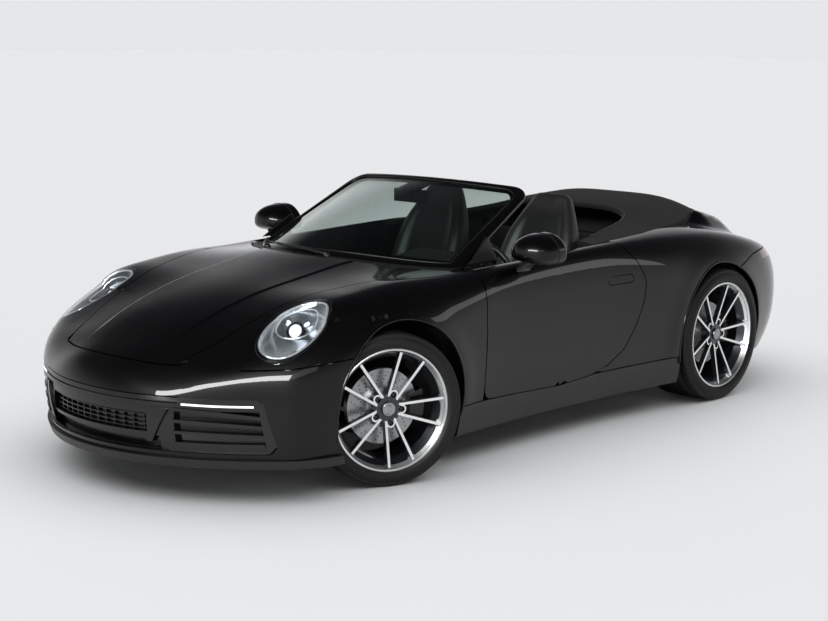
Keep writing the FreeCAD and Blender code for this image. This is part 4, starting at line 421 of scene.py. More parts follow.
# Painted flanks and barrel of the wheels: dark metallic lacquer
wheel_lacquer = new_finish("dark_titanium_lacquer", "#34363a", 0.32, 0.75, Coat_Weight=0.5)
raise_grain(wheel_lacquer, pattern(wheel_lacquer, "Noise", 1.2, smooth), 0.05, 0.0002)

# Tyre rubber: matt, greyer where it is dusty
tyre_rubber = new_finish("tyre_rubber", "#070707", 0.6, Specular_IOR_Level=0.3)
raise_grain(tyre_rubber, pattern(tyre_rubber, "Noise", 2.0, cloudy), 0.2, 0.0005)
vary(tyre_rubber, pattern(tyre_rubber, "Noise", 50.0, cloudy), 0.5, 0.68)

# Ground grey iron of the discs, its shine broken by the pads
disc_iron = new_finish("ground_grey_iron", "#9c9d9e", 0.3, 1.0)
vary(disc_iron, pattern(disc_iron, "Noise", 8.0, cloudy), 0.24, 0.4)

# Drilled holes and deep gaps: no light comes back
dark_hole = new_finish("shadowed_hollow", "#030303", 0.9)

# Lacquered black iron castings of the brakes and hubs
black_casting = new_finish("black_lacquered_casting", "#08080a", 0.22)
raise_grain(black_casting, pattern(black_casting, "Noise", 4.0, cloudy), 0.15, 0.0006)

# Chromed reflectors, and the rings round the lamps, each with a faint painted glow in its emission:
# a painted reflection that brightens the chrome, stronger on the rings
chrome_with_painted_glow = new_finish("satin_chromed_reflector_painted_glow", "#d9dcde", 0.2, 1.0,
                         Emission_Color=linear("#dfe6e2"), Emission_Strength=0.07)
vary(chrome_with_painted_glow, pattern(chrome_with_painted_glow, "Noise", 20.0, cloudy), 0.15, 0.26)
lamp_ring = new_finish("polished_lamp_ring_painted_glow", "#f2f4f4", 0.15, 1.0,
                       Emission_Color=linear("#ffffff"), Emission_Strength=0.28)
vary(lamp_ring, pattern(lamp_ring, "Noise", 12.0, cloudy), 0.12, 0.2)

# Brushed stainless steel of the exhaust tips and wheel caps
stainless = new_finish("brushed_stainless", "#9a9b9c", 0.26, 1.0)
vary(stainless, pattern(stainless, "Noise", 15.0, cloudy), 0.2, 0.34)

# Black underbody sealant: matt and lumpy from the spray
sealant = new_finish("underbody_sealant", "#0a0a0b", 0.8)
raise_grain(sealant, pattern(sealant, "Noise", 6.0, cloudy), 0.4, 0.001)

# Sand-cast aluminium of the engine: grainy and dull
sand_cast = new_finish("sand_cast_aluminium", "#8a8b8d", 0.5, 0.9)
raise_grain(sand_cast, pattern(sand_cast, "Noise", 3.0, cloudy), 0.4, 0.0008)

# Injection-moulded red acrylic of the tail lamps: glossy
red_acrylic = new_finish("red_acrylic", "#5a0508", 0.08, Coat_Weight=0.6)
vary(red_acrylic, pattern(red_acrylic, "Noise", 40.0, cloudy), 0.05, 0.12)

# Silvered glass of the mirrors
silvered = new_finish("silvered_glass", "#c9ced2", 0.02, 1.0)
vary(silvered, pattern(silvered, "Noise", 90.0, cloudy), 0.015, 0.03)

# Lit white diodes behind their light guide
white_light = new_finish("lit_light_guide", "#f4f7ff", 0.4, Emission_Color=linear("#f2f6ff"),
                         Emission_Strength=1.1)
vary(white_light, pattern(white_light, "Noise", 10.0, cloudy), 0.3, 0.5)


glass_ior = 1.45


def clear_finish(name, colour, tint):
    """Clear glass: mirrors by the angle, lets the rest through, darkened by its tint."""
    material = new_finish(name, colour, 0.01)
    tree = material.node_tree
    tree.nodes["Principled BSDF"].inputs["Base Color"].default_value = (0, 0, 0, 1)
    through = add_node(tree, "BsdfTransparent", {"Color": linear(tint)})
    gloss = add_node(tree, "BsdfGlossy", {"Color": (1, 1, 1, 1), "Roughness": 0.0})
    inward = add_node(tree, "NewGeometry").outputs["Backfacing"]
    ratio = add_node(tree, "MapRange", {"To Min": glass_ior, "To Max": 1 / glass_ior},
                     {"Value": inward})
    angle = add_node(tree, "Fresnel", None, {"IOR": ratio.outputs["Result"]})
    mix = add_node(tree, "MixShader", None,
                   {0: angle.outputs[0], 1: through.outputs[0], 2: gloss.outputs[0]})
    tree.links.new(mix.outputs[0], tree.nodes["Material Output"].inputs["Surface"])
    return material


# Laminated windscreen: faint green-grey tint
screen_glass = clear_finish("laminated_glass", "#dfe6e4", "#d6dedb")
# Clear hard-coated polycarbonate of the headlamps
lamp_clear = clear_finish("clear_polycarbonate", "#f2f4f6", "#f0f2f4")


# Meshes
merge_distance = 2e-5
collapse_distance = 1e-6
halving_rounds = 6
crease_edge = 0.011
skin_reach = 12.0


def read_values(items, name, size=1, kind=float):
    """One value of every item of a mesh, as an array."""
    values = np.empty(len(items) * size, kind)
    items.foreach_get(name, values)
    return values.reshape(-1, size) if size > 1 else values


def unit(vectors):
    """Vectors over their own lengths."""
    return vectors / np.maximum(np.linalg.norm(vectors, axis=-1, keepdims=True), 1e-9)


def add_object(name, data):
    """An object at the origin, linked to the scene."""
    made = bpy.data.objects.new(name, data)
    bpy.context.scene.collection.objects.link(made)
    return made


def as_piece(name, part, body, finish):
    """A part's points in millimetres and faces as a smooth mesh, on its body, with its finish."""
    points, faces = part
    mesh = bpy.data.meshes.new(name)
    mesh.from_pydata((np.asarray(points).reshape(-1, 3) * mm).tolist(), [],
                     [list(face) for face in faces])
    mesh.materials.append(finish)
    mesh.polygons.foreach_set("use_smooth", np.ones(len(mesh.polygons), bool))
    mesh.update()
    piece = add_object(name, mesh)
    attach(piece, body)
    return piece


def grid_faces(rows, columns, wrap_rows=False, wrap_columns=False):
    """Quads over a grid of points, closed round in either direction."""
    i, j = np.meshgrid(np.arange(rows if wrap_rows else rows - 1),
                       np.arange(columns if wrap_columns else columns - 1), indexing="ij")
    ahead, beside = (i + 1) % rows, (j + 1) % columns
    quads = np.stack([i * columns + j, i * columns + beside,
                      ahead * columns + beside, ahead * columns + j], -1)
    return quads.reshape(-1, 4)


def put_together(parts):
    """Several (points, faces) as one."""
    points, faces, first = [], [], 0
    for some_points, some_faces in parts:
        some_points = np.asarray(some_points, float).reshape(-1, 3)
        points.append(some_points)
        faces.extend([corner + first for corner in face] for face in some_faces)
        first += len(some_points)
    return np.concatenate(points), faces


def loop_normals(mesh, angle):
    """Each corner's normal: the sum, by area, of the faces round its vertex that turn from its own
    face by less than an angle. Also each corner's vertex and face, and each face's normal."""
    corner = read_values(mesh.loops, "vertex_index", kind=np.int32)
    total = read_values(mesh.polygons, "loop_total", kind=np.int32)
    face_normal = read_values(mesh.polygons, "normal", 3)
    area = read_values(mesh.polygons, "area")
    count = len(corner)
    owner = np.repeat(np.arange(len(total)), total)
    # Corners sorted by vertex, and each one paired with every corner of its vertex
    order = np.argsort(corner, kind="stable")
    group_start = np.r_[0, np.flatnonzero(np.diff(corner[order])) + 1]
    group_size = np.diff(np.r_[group_start, count])
    size = np.repeat(group_size, group_size)
    start = np.repeat(group_start, group_size)
    first = np.repeat(np.arange(count), size)
    offset = np.arange(len(first)) - np.repeat(np.cumsum(size) - size, size)
    second = np.repeat(start, size) + offset
    own, other = owner[order[first]], owner[order[second]]
    close = np.einsum("ij,ij->i", face_normal[own], face_normal[other]) > math.cos(
        math.radians(angle))
    result = np.zeros((count, 3))
    np.add.at(result, order[first[close]], face_normal[other[close]] * area[other[close], None])
    length = np.linalg.norm(result, axis=1, keepdims=True)
    result = np.where(length > 0, result / np.maximum(length, 1e-12), face_normal[owner])
    return result, corner, owner, face_normal


def merged_copy(node, longest, crease):
    """A node's mesh with its doubles merged, and its edges halved where they are longer than a
    length, or than the crease edge where they lie by a crease."""
    work = bmesh.new()
    work.from_mesh(frame["nodes"][node].data)
    bmesh.ops.remove_doubles(work, verts=work.verts, dist=merge_distance)
    bmesh.ops.dissolve_degenerate(work, edges=work.edges, dist=collapse_distance)
    for _ in range(halving_rounds if longest else 0):
        long_edges = [edge for edge in work.edges if edge.calc_length() > longest or (
            crease and edge.calc_length() > crease_edge and crease(edge))]
        if not long_edges:
            break
        bmesh.ops.subdivide_edges(work, edges=long_edges, cuts=1)
        bmesh.ops.triangulate(work, faces=work.faces)
    mesh = bpy.data.meshes.new(node + "_skin")
    work.to_mesh(mesh)
    work.free()
    return mesh


def dressed(node, finishes, angle=32.0, field=None, longest=None, choose=None, crease=None,
            laid_on=None):
    """A merged copy of a node's mesh that stands for it. With a field, its outer faces are laid on
    the form, or on another one near it, and take their normals from the form's slope."""
    mesh = merged_copy(node, longest, crease)
    for finish in finishes if isinstance(finishes, list) else [finishes]:
        mesh.materials.append(finish)
    mesh.polygons.foreach_set("use_smooth", np.ones(len(mesh.polygons), bool))
    points = read_values(mesh.vertices, "co", 3) / mm
    centres = read_values(mesh.polygons, "center", 3) / mm
    form = laid_on or field
    if field is not None:
        way = unit(slope(field, centres))
        off = np.abs(field(centres))
        facing = np.einsum("ij,ij->i", way, read_values(mesh.polygons, "normal", 3))
        outer = ((off < skin_reach) & (facing > 0.75)) | ((off < 0.5) & (facing > 0.1))
        corner = read_values(mesh.loops, "vertex_index", kind=np.int32)
        total = read_values(mesh.polygons, "loop_total", kind=np.int32)
        on_outer = np.zeros(len(points), bool)
        on_outer[corner[np.repeat(outer, total)]] = True
        for _ in range(4 if laid_on else 2):
            picked = points[on_outer]
            way = slope(form, picked)
            share = form(picked) / np.einsum("ij,ij->i", way, way)
            points[on_outer] = picked - way * share[:, None]
        mesh.vertices.foreach_set("co", (points * mm).ravel())
        mesh.update()
    normals, corner, owner, face_normal = loop_normals(mesh, angle)
    if field is not None:
        picked = outer[owner]
        normals[picked] = unit(slope(form, points))[corner[picked]]
    if choose is not None:
        mesh.polygons.foreach_set("material_index",
                                  choose(centres, face_normal).astype(np.int32))
    mesh.update()
    mesh.normals_split_custom_set(normals.tolist())
    piece = add_object(node + "_dressed", mesh)
    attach(piece, frame["nodes"][node]["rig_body"])
    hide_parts(node)
    return piece


# Painted panels, laid on the form, in edges of 40 mm, and 30 mm on the creased bonnet
for node in ("wing_left", "wing_right", "door_left", "door_right", "front_bumper"):
    dressed(node, black_paint, field=body_gap, longest=0.04)
for node in ("quarter_left", "quarter_right", "rear_bumper", "rear_spoiler", "engine_lid"):
    dressed(node, black_paint, field=body_gap, longest=0.04, laid_on=rear_gap)
crease_at = np.linspace(-2.12, -0.95, 200)
crease_out = crease_place(crease_at / mm) * mm
crease_margin = 0.014
bonnet_low = 0.6


def by_crease(edge):
    """Whether an edge of the bonnet's outer face crosses or nears a crease."""
    a, b = (vertex.co for vertex in edge.verts)
    place = np.interp((a.y + b.y) / 2, crease_at, crease_out)
    return (a.z + b.z) / 2 > bonnet_low and (
        min(abs(a.x), abs(b.x)) - crease_margin < place < max(abs(a.x), abs(b.x)) + crease_margin)


dressed("bonnet", black_paint, field=bonnet_gap, longest=0.03, crease=by_crease)

# Trim, lamps, cloth and mechanical parts: the angle up to which their edges are smoothed
moulded_angle = 40.0
metal_angle = 30.0
rim_angle = 50.0
mirror_glass_low, mirror_glass_high = 1090, 1146
light_strip_high = 500
carpet_half, carpet_reach, carpet_low = 641, 1020, 165


def is_mirror_glass(centres, normals):
    """The rearward face inside the mirror's rim."""
    return ((normals[:, 1] > 0.9) & (centres[:, 2] > mirror_glass_low)
            & (centres[:, 2] < mirror_glass_high))


def is_light_strip(centres, normals):
    """The lenses of the light strips, which lie below the headlamps."""
    return centres[:, 2] < light_strip_high


def is_carpeted(centres, normals):
    """The tub's faces within the cabin, above its floor."""
    return ((np.abs(centres[:, 0]) < carpet_half) & (np.abs(centres[:, 1]) < carpet_reach)
            & (centres[:, 2] > carpet_low))


for node in ("front_lip", "rear_diffuser", "sill_skirts"):
    dressed(node, satin_plastic, moulded_angle)
dressed("front_grille", insert_plastic, moulded_angle)
dressed("cowl", satin_plastic, moulded_angle, field=body_gap)
dressed("inside_mirror", [dash_skin, silvered], moulded_angle,
        choose=is_mirror_glass)
dressed("tail_lamps", red_acrylic, moulded_angle, field=body_gap)
dressed("exhaust", stainless, moulded_angle)
dressed("headlamp_lenses", [lamp_clear, white_light], moulded_angle, longest=0.03,
        choose=is_light_strip)
dressed("tonneau_cover", roof_cloth, moulded_angle, field=cover_gap, longest=0.05)
dressed("floor_tub", [sealant, carpet], metal_angle, choose=is_carpeted)
dressed("dashboard", dash_skin, moulded_angle)
dressed("steering_wheel", leather, rim_angle)
dressed("engine_block", sand_cast, metal_angle)
for node in ("front_beam", "rear_beam"):
    dressed(node, sealant, metal_angle)
for side in ("left", "right"):
    dressed("knuckle_front_" + side, black_casting, metal_angle)

# Wheels: middle, direction out of the car along the axle, tyre radius, width, rim radius, body
steer = math.radians(20.9)
parked_turn = math.radians(24)
kingpin_x = 734.5
rear_hub_x = 778.5
kingpin_offset = 60
front_tyre_width, front_rim_radius = 245.0, 268.0
rear_tyre_width, rear_rim_radius = 305.0, 281.0
hub_radius = 60
rim_edge_width = 26
out_left = np.array([math.cos(steer), -math.sin(steer), 0.0])
wheels = {}
for name, side, body in (("front_left", 1, "wheel_fl"), ("front_right", -1, "wheel_fr")):
    kingpin = np.array([side * kingpin_x, front_axle_y, front_tyre_radius])
    wheels[name] = (kingpin + side * kingpin_offset * out_left, side * out_left,
                    front_tyre_radius, front_tyre_width, front_rim_radius, body)
for name, side, body in (("rear_left", 1, "wheel_rl"), ("rear_right", -1, "wheel_rr")):
    wheels[name] = (np.array([side * rear_hub_x, rear_axle_y, rear_tyre_radius]),
                    np.array([float(side), 0, 0]), rear_tyre_radius, rear_tyre_width,
                    rear_rim_radius, body)
straight_up = np.array([0.0, 0, 1.0])


def full_turn(count):
    """Equal turns once round, from zero."""
    return np.linspace(0, 2 * np.pi, count, endpoint=False)


def round_axle(along, radius, turn, centre, axle):
    """Points at a distance along the axle and a radius, turned about it from straight up."""
    aside = np.cross(straight_up, axle)
    return (centre + along[..., None] * axle + (radius * np.cos(turn))[..., None] * straight_up
            + (radius * np.sin(turn))[..., None] * aside)


def tyre_profile(radius, width, rim_radius):
    """Half outline of (along the axle, radius): a bead, a wall bulged by a power of a sine with one
    rib by the rim, a round shoulder, and a tread with two grooves."""
    half = width / 2
    wall_inset, wall_bulge = 13, 11.5
    rib_height, rib_above_rim, rib_width = 1.1, 9, 3.0
    shoulder_inset, shoulder_radius = 26, 14
    groove_half, groove_floor_half, groove_depth = 6, 4, 7
    groove_shares = (0.56, 0.18)
    t = np.linspace(0, 1, 26)
    bulge = np.sin(np.pi * np.clip(t * 1.08, 0, 1)) ** 0.8
    wall_low, wall_high = rim_radius - 2, radius - shoulder_radius
    wall = np.stack([half - wall_inset + wall_bulge * bulge,
                     wall_low + (wall_high - wall_low) * t], -1)
    wall[:, 0] += rib_height * np.exp(-((wall[:, 1] - rim_radius - rib_above_rim) / rib_width) ** 2)
    turn = np.linspace(0.15, 0.5 * np.pi, 9)
    shoulder = np.stack([half - shoulder_inset + shoulder_radius * np.cos(turn),
                         radius - shoulder_radius + shoulder_radius * np.sin(turn)], -1)
    tread = [(half - shoulder_inset - 1, radius)]
    for groove in groove_shares:
        middle = groove * half
        tread += [(middle + groove_half, radius),
                  (middle + groove_floor_half, radius - groove_depth),
                  (middle - groove_floor_half, radius - groove_depth),
                  (middle - groove_half, radius)]
    bead = [(half - shoulder_inset, rim_radius - 8), (half - wall_inset - 1, rim_radius - 4)]
    return np.concatenate([bead, wall, shoulder, np.array(tread)])


tyre_sides = 140
for place, (centre, axle, radius, width, rim_radius, body) in wheels.items():
    half = tyre_profile(radius, width, rim_radius)
    profile = np.concatenate([half, np.stack([-half[::-1, 0], half[::-1, 1]], -1)])
    along = np.repeat(profile[None, :, 0], tyre_sides, 0)
    reach = np.repeat(profile[None, :, 1], tyre_sides, 0)
    grid = round_axle(along, reach, full_turn(tyre_sides)[:, None], centre, axle)
    faces = grid_faces(tyre_sides, len(profile), True, True)[:, ::-1]
    tyre = as_piece("tyre_" + place + "_skin", (grid, faces), body, tyre_rubber)
    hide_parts("tyre_" + place)

    def is_turned(centres, normals, centre=centre, axle=axle, rim_radius=rim_radius):
        """The spokes' flat fronts outside the hub, and the rim's outer edge."""
        from_axle = centres - centre
        depth = from_axle @ axle
        radial = np.linalg.norm(from_axle - depth[:, None] * axle, axis=1)
        flat = (normals @ axle > 0.72) & (radial < rim_radius + 1) & (radial > hub_radius)
        return flat | ((normals @ axle > 0.4) & (radial > rim_radius - rim_edge_width))

    rim = dressed("rim_" + place, [wheel_lacquer, turned_face], metal_angle,
                  choose=is_turned)
    spin = Matrix.Rotation(-parked_turn, 4, Vector(axle))
    middle = Matrix.Translation(Vector(centre) * mm)
    rim.data.transform(middle @ spin @ middle.inverted())
    dressed("disc_" + place, disc_iron, metal_angle)


# Ways of making the pieces that the solids leave to this script
def on_skin(start, direction, reach=1700.0):
    """Where rays from inside the form meet its skin, by halving."""
    low = np.zeros(start.shape[:-1])
    high = low + reach
    for _ in range(34):
        middle = (low + high) / 2
        inside = body_gap(start + direction * middle[..., None]) < 0
        low, high = np.where(inside, middle, low), np.where(inside, high, middle)
    return start + direction * low[..., None]


def tube(path, radius, sides=10, closed=False):
    """A round section carried along a path, its frame turned from one point to the next."""
    path = np.asarray(path, float)
    ahead = np.roll(path, -1, 0) - np.roll(path, 1, 0)
    if not closed:
        ahead[0], ahead[-1] = path[1] - path[0], path[-1] - path[-2]
    ahead = unit(ahead)
    side = np.zeros_like(path)
    guess = np.array([0.31, 0.22, 0.93])
    for i, way in enumerate(ahead):
        guess = guess - way * (guess @ way)
        guess = guess / np.linalg.norm(guess)
        side[i] = guess
    over = np.cross(ahead, side)
    turns = full_turn(sides)
    radius = np.broadcast_to(np.asarray(radius, float), (len(path),))
    ring = (np.cos(turns)[None, :, None] * side[:, None]
            + np.sin(turns)[None, :, None] * over[:, None])
    points = (path[:, None] + radius[:, None, None] * ring).reshape(-1, 3)
    faces = grid_faces(len(path), sides, closed, True).tolist()
    if not closed:
        faces.append(list(range(sides))[::-1])
        faces.append([len(points) - sides + i for i in range(sides)])
    return points, faces


def lathe(profile, middle, axis, sides=48):
    """A profile of (distance along the axis, radius) turned round the axis."""
    profile = np.asarray(profile, float)
    axis = unit(np.asarray(axis, float))
    aside = unit(np.cross(axis, [0.13, 0.21, 0.97]))
    over = np.cross(axis, aside)
    turns = full_turn(sides)
    ring = np.cos(turns)[:, None] * aside + np.sin(turns)[:, None] * over
    grid = middle + profile[None, :, :1] * axis + profile[None, :, 1:] * ring[:, None]
    return grid.reshape(-1, 3), grid_faces(sides, len(profile), True)[:, ::-1]


def power_round(sides, exponent):
    """Cosine and sine of a superellipse."""
    turn = full_turn(sides)
    c, s = np.cos(turn), np.sin(turn)
    return np.sign(c) * np.abs(c) ** (2 / exponent), np.sign(s) * np.abs(s) ** (2 / exponent)


def loft(rings):
    """Rings of equal length joined in order, their ends drawn in to a point."""
    rings = np.asarray(rings, float)
    count, sides = rings.shape[:2]
    points = np.concatenate([rings.reshape(-1, 3), [rings[0].mean(0), rings[-1].mean(0)]])
    faces = grid_faces(count, sides, False, True).tolist()
    first, last, end = count * sides, count * sides + 1, (count - 1) * sides
    faces += [[first, (i + 1) % sides, i] for i in range(sides)]
    faces += [[last, end + i, end + (i + 1) % sides] for i in range(sides)]
    return points, faces


def flipped(part):
    """A part's mirror image, its faces still outwards."""
    points, faces = part
    return np.asarray(points) * np.array([-1.0, 1, 1]), [list(face)[::-1] for face in faces]


def both_sides(part):
    """A part and its mirror image."""
    return put_together([part, flipped(part)])


def outward(part):
    """A closed form with its faces turned out, told by the sign of its volume."""
    points, faces = np.asarray(part[0], float), part[1]
    total = 0.0
    for face in faces:
        a = points[face[0]]
        for b, c in zip(face[1:-1], face[2:]):
            total += float(np.dot(a, np.cross(points[b], points[c])))
    return points, faces if total > 0 else [list(face)[::-1] for face in faces]


# Headlamps: an oval in plan, its points taken up onto the form, then sunk along the lamp's axis
lamp_x, lamp_y = 674.0, -1682.0
lamp_along, lamp_across = 197.0, 130.0
lamp_turn = math.radians(90 + 4.1)
lamp_axis = unit(np.array([0.45, -0.45, 0.77]))
lamp_inside_z = 430.0
lamp_sides = 72
bowl_share = 0.86
bowl_rim_depth = 12
bowl_depth = 62
bowl_rings = 16
ring_depth, ring_radius = 9.0, 4.2
oval_middle_along, oval_half_along = 34.0, 92.0
oval_middle_across, oval_half_across = 12.0, 84.0
oval_depth, oval_radius = 26.0, 3.0
eye_share, eye_turn, eye_depth = 0.12, math.radians(20), 66.0
eye_radius, eye_lift = 29, 12


def lamp_point(share, turn, depth):
    """A share of the oval's radius at a turn, on the skin, sunk by a depth along the lamp."""
    share, turn, depth = np.broadcast_arrays(share, turn, depth)
    along, across = lamp_along * share * np.cos(turn), lamp_across * share * np.sin(turn)
    x = lamp_x + along * math.cos(lamp_turn) - across * math.sin(lamp_turn)
    y = lamp_y + along * math.sin(lamp_turn) + across * math.cos(lamp_turn)
    start = np.stack([x, y, np.full(x.shape, lamp_inside_z)], -1)
    skin = on_skin(start, np.broadcast_to([0.0, 0, 1], start.shape), 600.0)
    return skin - lamp_axis * depth[..., None]


# Bowl and bezel, in shares of the oval against the turn
turns = full_turn(lamp_sides)
shares = np.linspace(bowl_share, 0.02, bowl_rings)
sunk = bowl_rim_depth + bowl_depth * (1 - (shares / bowl_share) ** 2) ** 0.8
bowl = lamp_point(shares[None, :], turns[:, None], sunk[None, :])
trim_shares, trim_depths = np.array([[0.985, 0.97, 0.9, bowl_share], [7.0, 14.0, 20.0, 14.0]])
trim = lamp_point(trim_shares[None, :], turns[:, None], trim_depths[None, :])
bowl_part = bowl.reshape(-1, 3), grid_faces(lamp_sides, bowl_rings, True)[:, ::-1].tolist()
trim_part = trim.reshape(-1, 3), grid_faces(lamp_sides, 4, True)[:, ::-1].tolist()

# Rings: one at the bowl's rim, and an oval one round the projector
outer_ring = tube(lamp_point(bowl_share + 0.01, turns, ring_depth), ring_radius, 10, True)
along = (oval_middle_along + oval_half_along * np.cos(turns)) / lamp_along
across = (oval_middle_across + oval_half_across * np.sin(turns)) / lamp_across
oval_path = lamp_point(np.hypot(along, across), np.arctan2(across, along), oval_depth)
inner_ring = tube(oval_path, oval_radius, 8, True)

# Projector: a stepped barrel, a dome, and four light bars round it
eye_axis = unit(np.array([0.30, -0.85, 0.42]))
eye = lamp_point(eye_share, eye_turn, eye_depth)
barrel = lathe([(-22, 40), (10, 40), (20, 38), (22, 36), (22, 33), (12, 31), (12, 29)], eye,
               eye_axis)
dome = lathe([(eye_lift + 10 * math.sin(t), eye_radius * math.cos(t))
              for t in map(math.radians, range(0, 91, 10))], eye, eye_axis)
aside = unit(np.cross(eye_axis, straight_up))
over = np.cross(aside, eye_axis)
lamp_bars = []
for way in np.radians([40, 140, 220, 320]):
    out = math.cos(way) * aside + math.sin(way) * over
    path = eye + eye_axis * 2 + out * np.array([[42.0], [47.0], [62.0], [67.0]])
    lamp_bars.append(tube(path, [5.0, 8.0, 8.0, 5.0], 12))
# The reflectors and the rings carry a painted glow in their emission
for name, part, finish in (("headlamp_reflectors", bowl_part, chrome_with_painted_glow),
                           ("headlamp_bezels", trim_part, gloss_plastic),
                           ("headlamp_rings", outer_ring, lamp_ring),
                           ("headlamp_inner_rings", inner_ring, lamp_ring),
                           ("projector_rings", barrel, gloss_plastic),
                           ("projector_lenses", dome, white_light),
                           ("daylight_bars", put_together(lamp_bars), white_light)):
    piece = as_piece(name, both_sides(part), "body", finish)
    if name == "headlamp_reflectors":
        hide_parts("headlamp_units")

# Brakes and hubs: drilled holes, bolts in their seats, a plain turned cap and the rim's edge
rim_lip = 12.0
hub_inset = {"front": 38.0, "rear": 43.0}
disc_setback = 62.0
hole_radius = 3.2
holes_round = 24
bolt_count = 5
bolt_circle = 65.0
bolt_seat = 18.0
bolt_profile = [(0, 0.1), (0, 11.5), (3, 11.5), (4, 9.5), (13, 9.5), (14.5, 7.5), (14.5, 0.1)]
cap_profile = [(5, 30.0), (9.6, 30.0), (11.2, 28.0), (11.2, 24.0), (10.2, 23.0), (10.2, 19.0),
               (11.6, 17.0), (12.4, 8.0), (12.6, 0.1)]


def hub_face(place, width):
    """Where the hub's face lies, out along the axle from the wheel's middle."""
    return width / 2 - rim_lip - hub_inset[place.split("_")[0]]


for place, (centre, axle, _, width, rim_radius, body) in wheels.items():
    face_at = hub_face(place, width)
    disc_at = face_at - disc_setback
    aside = unit(np.cross(straight_up, axle))
    dot = full_turn(7)[:, None]
    dot = hole_radius * (np.cos(dot) * aside + np.sin(dot) * straight_up)
    holes = []
    for ring, ring_radius in enumerate((103.0, 118.0, 133.0, 148.0)):
        for k in range(holes_round):
            turn = 2 * math.pi * (k + 0.25 * ring) / holes_round
            spot = round_axle(np.array(disc_at + 0.7), np.array(ring_radius), np.array(turn),
                              centre, axle)
            holes.append((spot + dot, [list(range(7))]))
    as_piece("disc_holes_" + place, put_together(holes), body, dark_hole)
    bolts = []
    for k in range(bolt_count):
        turn = 2 * math.pi * k / bolt_count + parked_turn
        seat = round_axle(np.array(face_at - bolt_seat), np.array(bolt_circle), np.array(turn),
                          centre, axle)
        bolts.append(lathe(bolt_profile, seat, axle, 12))
    as_piece("wheel_bolts_" + place, put_together(bolts), body, black_casting)
    cap = lathe(cap_profile, centre + axle * face_at, axle)
    as_piece("centre_cap_" + place, cap, body, stainless)
    edge = lathe([(0, rim_radius - 8.2), (0.4, rim_radius - 2.0), (-6, rim_radius + 1.5)],
                 centre + axle * (width / 2 - 11.8), axle, 120)
    as_piece("rim_edge_" + place, edge, body, turned_face)


# Rear brake calipers, held by the wheel carriers
def arc_block(centre, axle, inner, outer, back, front, start, end):
    """A block bent round the axle between two radii and two turns, its section a superellipse that
    shrinks towards both ends."""
    c, d = power_round(24, 4.5)
    rings = []
    for s in np.linspace(0, 1, 14):
        swell = (1 - abs(2 * s - 1) ** 5) ** 0.3 if 0 < s < 1 else 0.35
        along = (front + back) / 2 + c * (front - back) / 2 * swell
        reach = (inner + outer) / 2 + d * (outer - inner) / 2 * swell
        turn = np.full(24, start + (end - start) * s)
        rings.append(round_axle(along, reach, turn, centre, axle))
    return loft(rings)


for side, place in ((1, "rear_left"), (-1, "rear_right")):
    centre, axle, _, width, _, _ = wheels[place]
    disc_at = hub_face(place, width) - disc_setback
    blocks = [arc_block(centre, axle, inner, outer, disc_at + back, disc_at + front,
                        side * start, side * end)
              for inner, outer, back, front, start, end in (
                  (112.0, 178.0, 3.0, 30.0, 1.15, 2.05), (112.0, 178.0, -68.0, -37.0, 1.15, 2.05),
                  (168.5, 186.0, -62.0, 26.0, 1.35, 1.85))]
    as_piece("caliper_" + place, put_together(blocks), "body", black_casting)

# A rolled edge and piping round the cover's opening, in shares of half width and half length
rim_corners = np.array([(0.66, 0.18), (0.625, 0.24), (0.58, 0.30), (0.525, 0.38), (0.46, 0.43),
                        (0.34, 0.455), (0.18, 0.46), (0.0, 0.461)]) * [half_width, half_length]
fine = np.linspace(0, 1, 60)
share = np.linspace(0, 1, len(rim_corners))
rim_line = np.stack([np.interp(fine, share, rim_corners[:, k]) for k in (0, 1)], -1)
for _ in range(14):
    rim_line[1:-1] = (rim_line[:-2] + 2 * rim_line[1:-1] + rim_line[2:]) / 4
level = cover_height(rim_line[:, 0], rim_line[:, 1])
for name, radius, sink, finish in (("cover_rolled_rim", 15.0, 11.0, roof_cloth),
                                   ("cover_piping", 3.2, -2.5, leather)):
    part = both_sides(tube(np.column_stack([rim_line, level - sink]), radius, 14))
    as_piece(name, part, "body", finish)


# Dashboard: middle screen, instruments, stitched upper roll and vents
def slab_on(x0, x1, path, thickness):
    """A thin superelliptic plate from x0 to x1 along a side-view path of (y, z)."""
    path = np.asarray(path, float)
    share = np.linspace(0, 1, len(path))
    way = path[-1] - path[0]
    normal = np.array([-way[1], way[0]]) / np.linalg.norm(way)
    c, d = power_round(32, 4.0)
    rings = []
    for s in np.linspace(0, 1, 12):
        wide = 1.0 if 0 < s < 1 else 0.96
        y, z = (np.interp(s, share, path[:, k]) + normal[k] * d * thickness / 2 for k in (0, 1))
        rings.append(np.stack([(x0 + x1) / 2 + c * (x1 - x0) / 2 * wide, y, z], -1))
    return loft(rings)


driver_x = 370.0
dial_y, dial_z = -362.0, 838.0
dial_spacing, dial_drop, dial_lean = 78.0, 5.0, 0.42
roll_half, roll_y, roll_z = 615, -347.0, 778.0
vent_half, vent_y, vent_z, vane_pitch = 42, -352, 812, 9


def dial(x, z, radius):
    """A shallow dish with a raised rim, facing the driver."""
    axis = np.array([0.0, math.cos(dial_lean), math.sin(dial_lean)])
    profile = [(0, radius), (5, radius), (6, radius - 3), (3, radius - 5), (2, 0.1)]
    return lathe(profile, np.array([x, dial_y, z]), axis, 40)


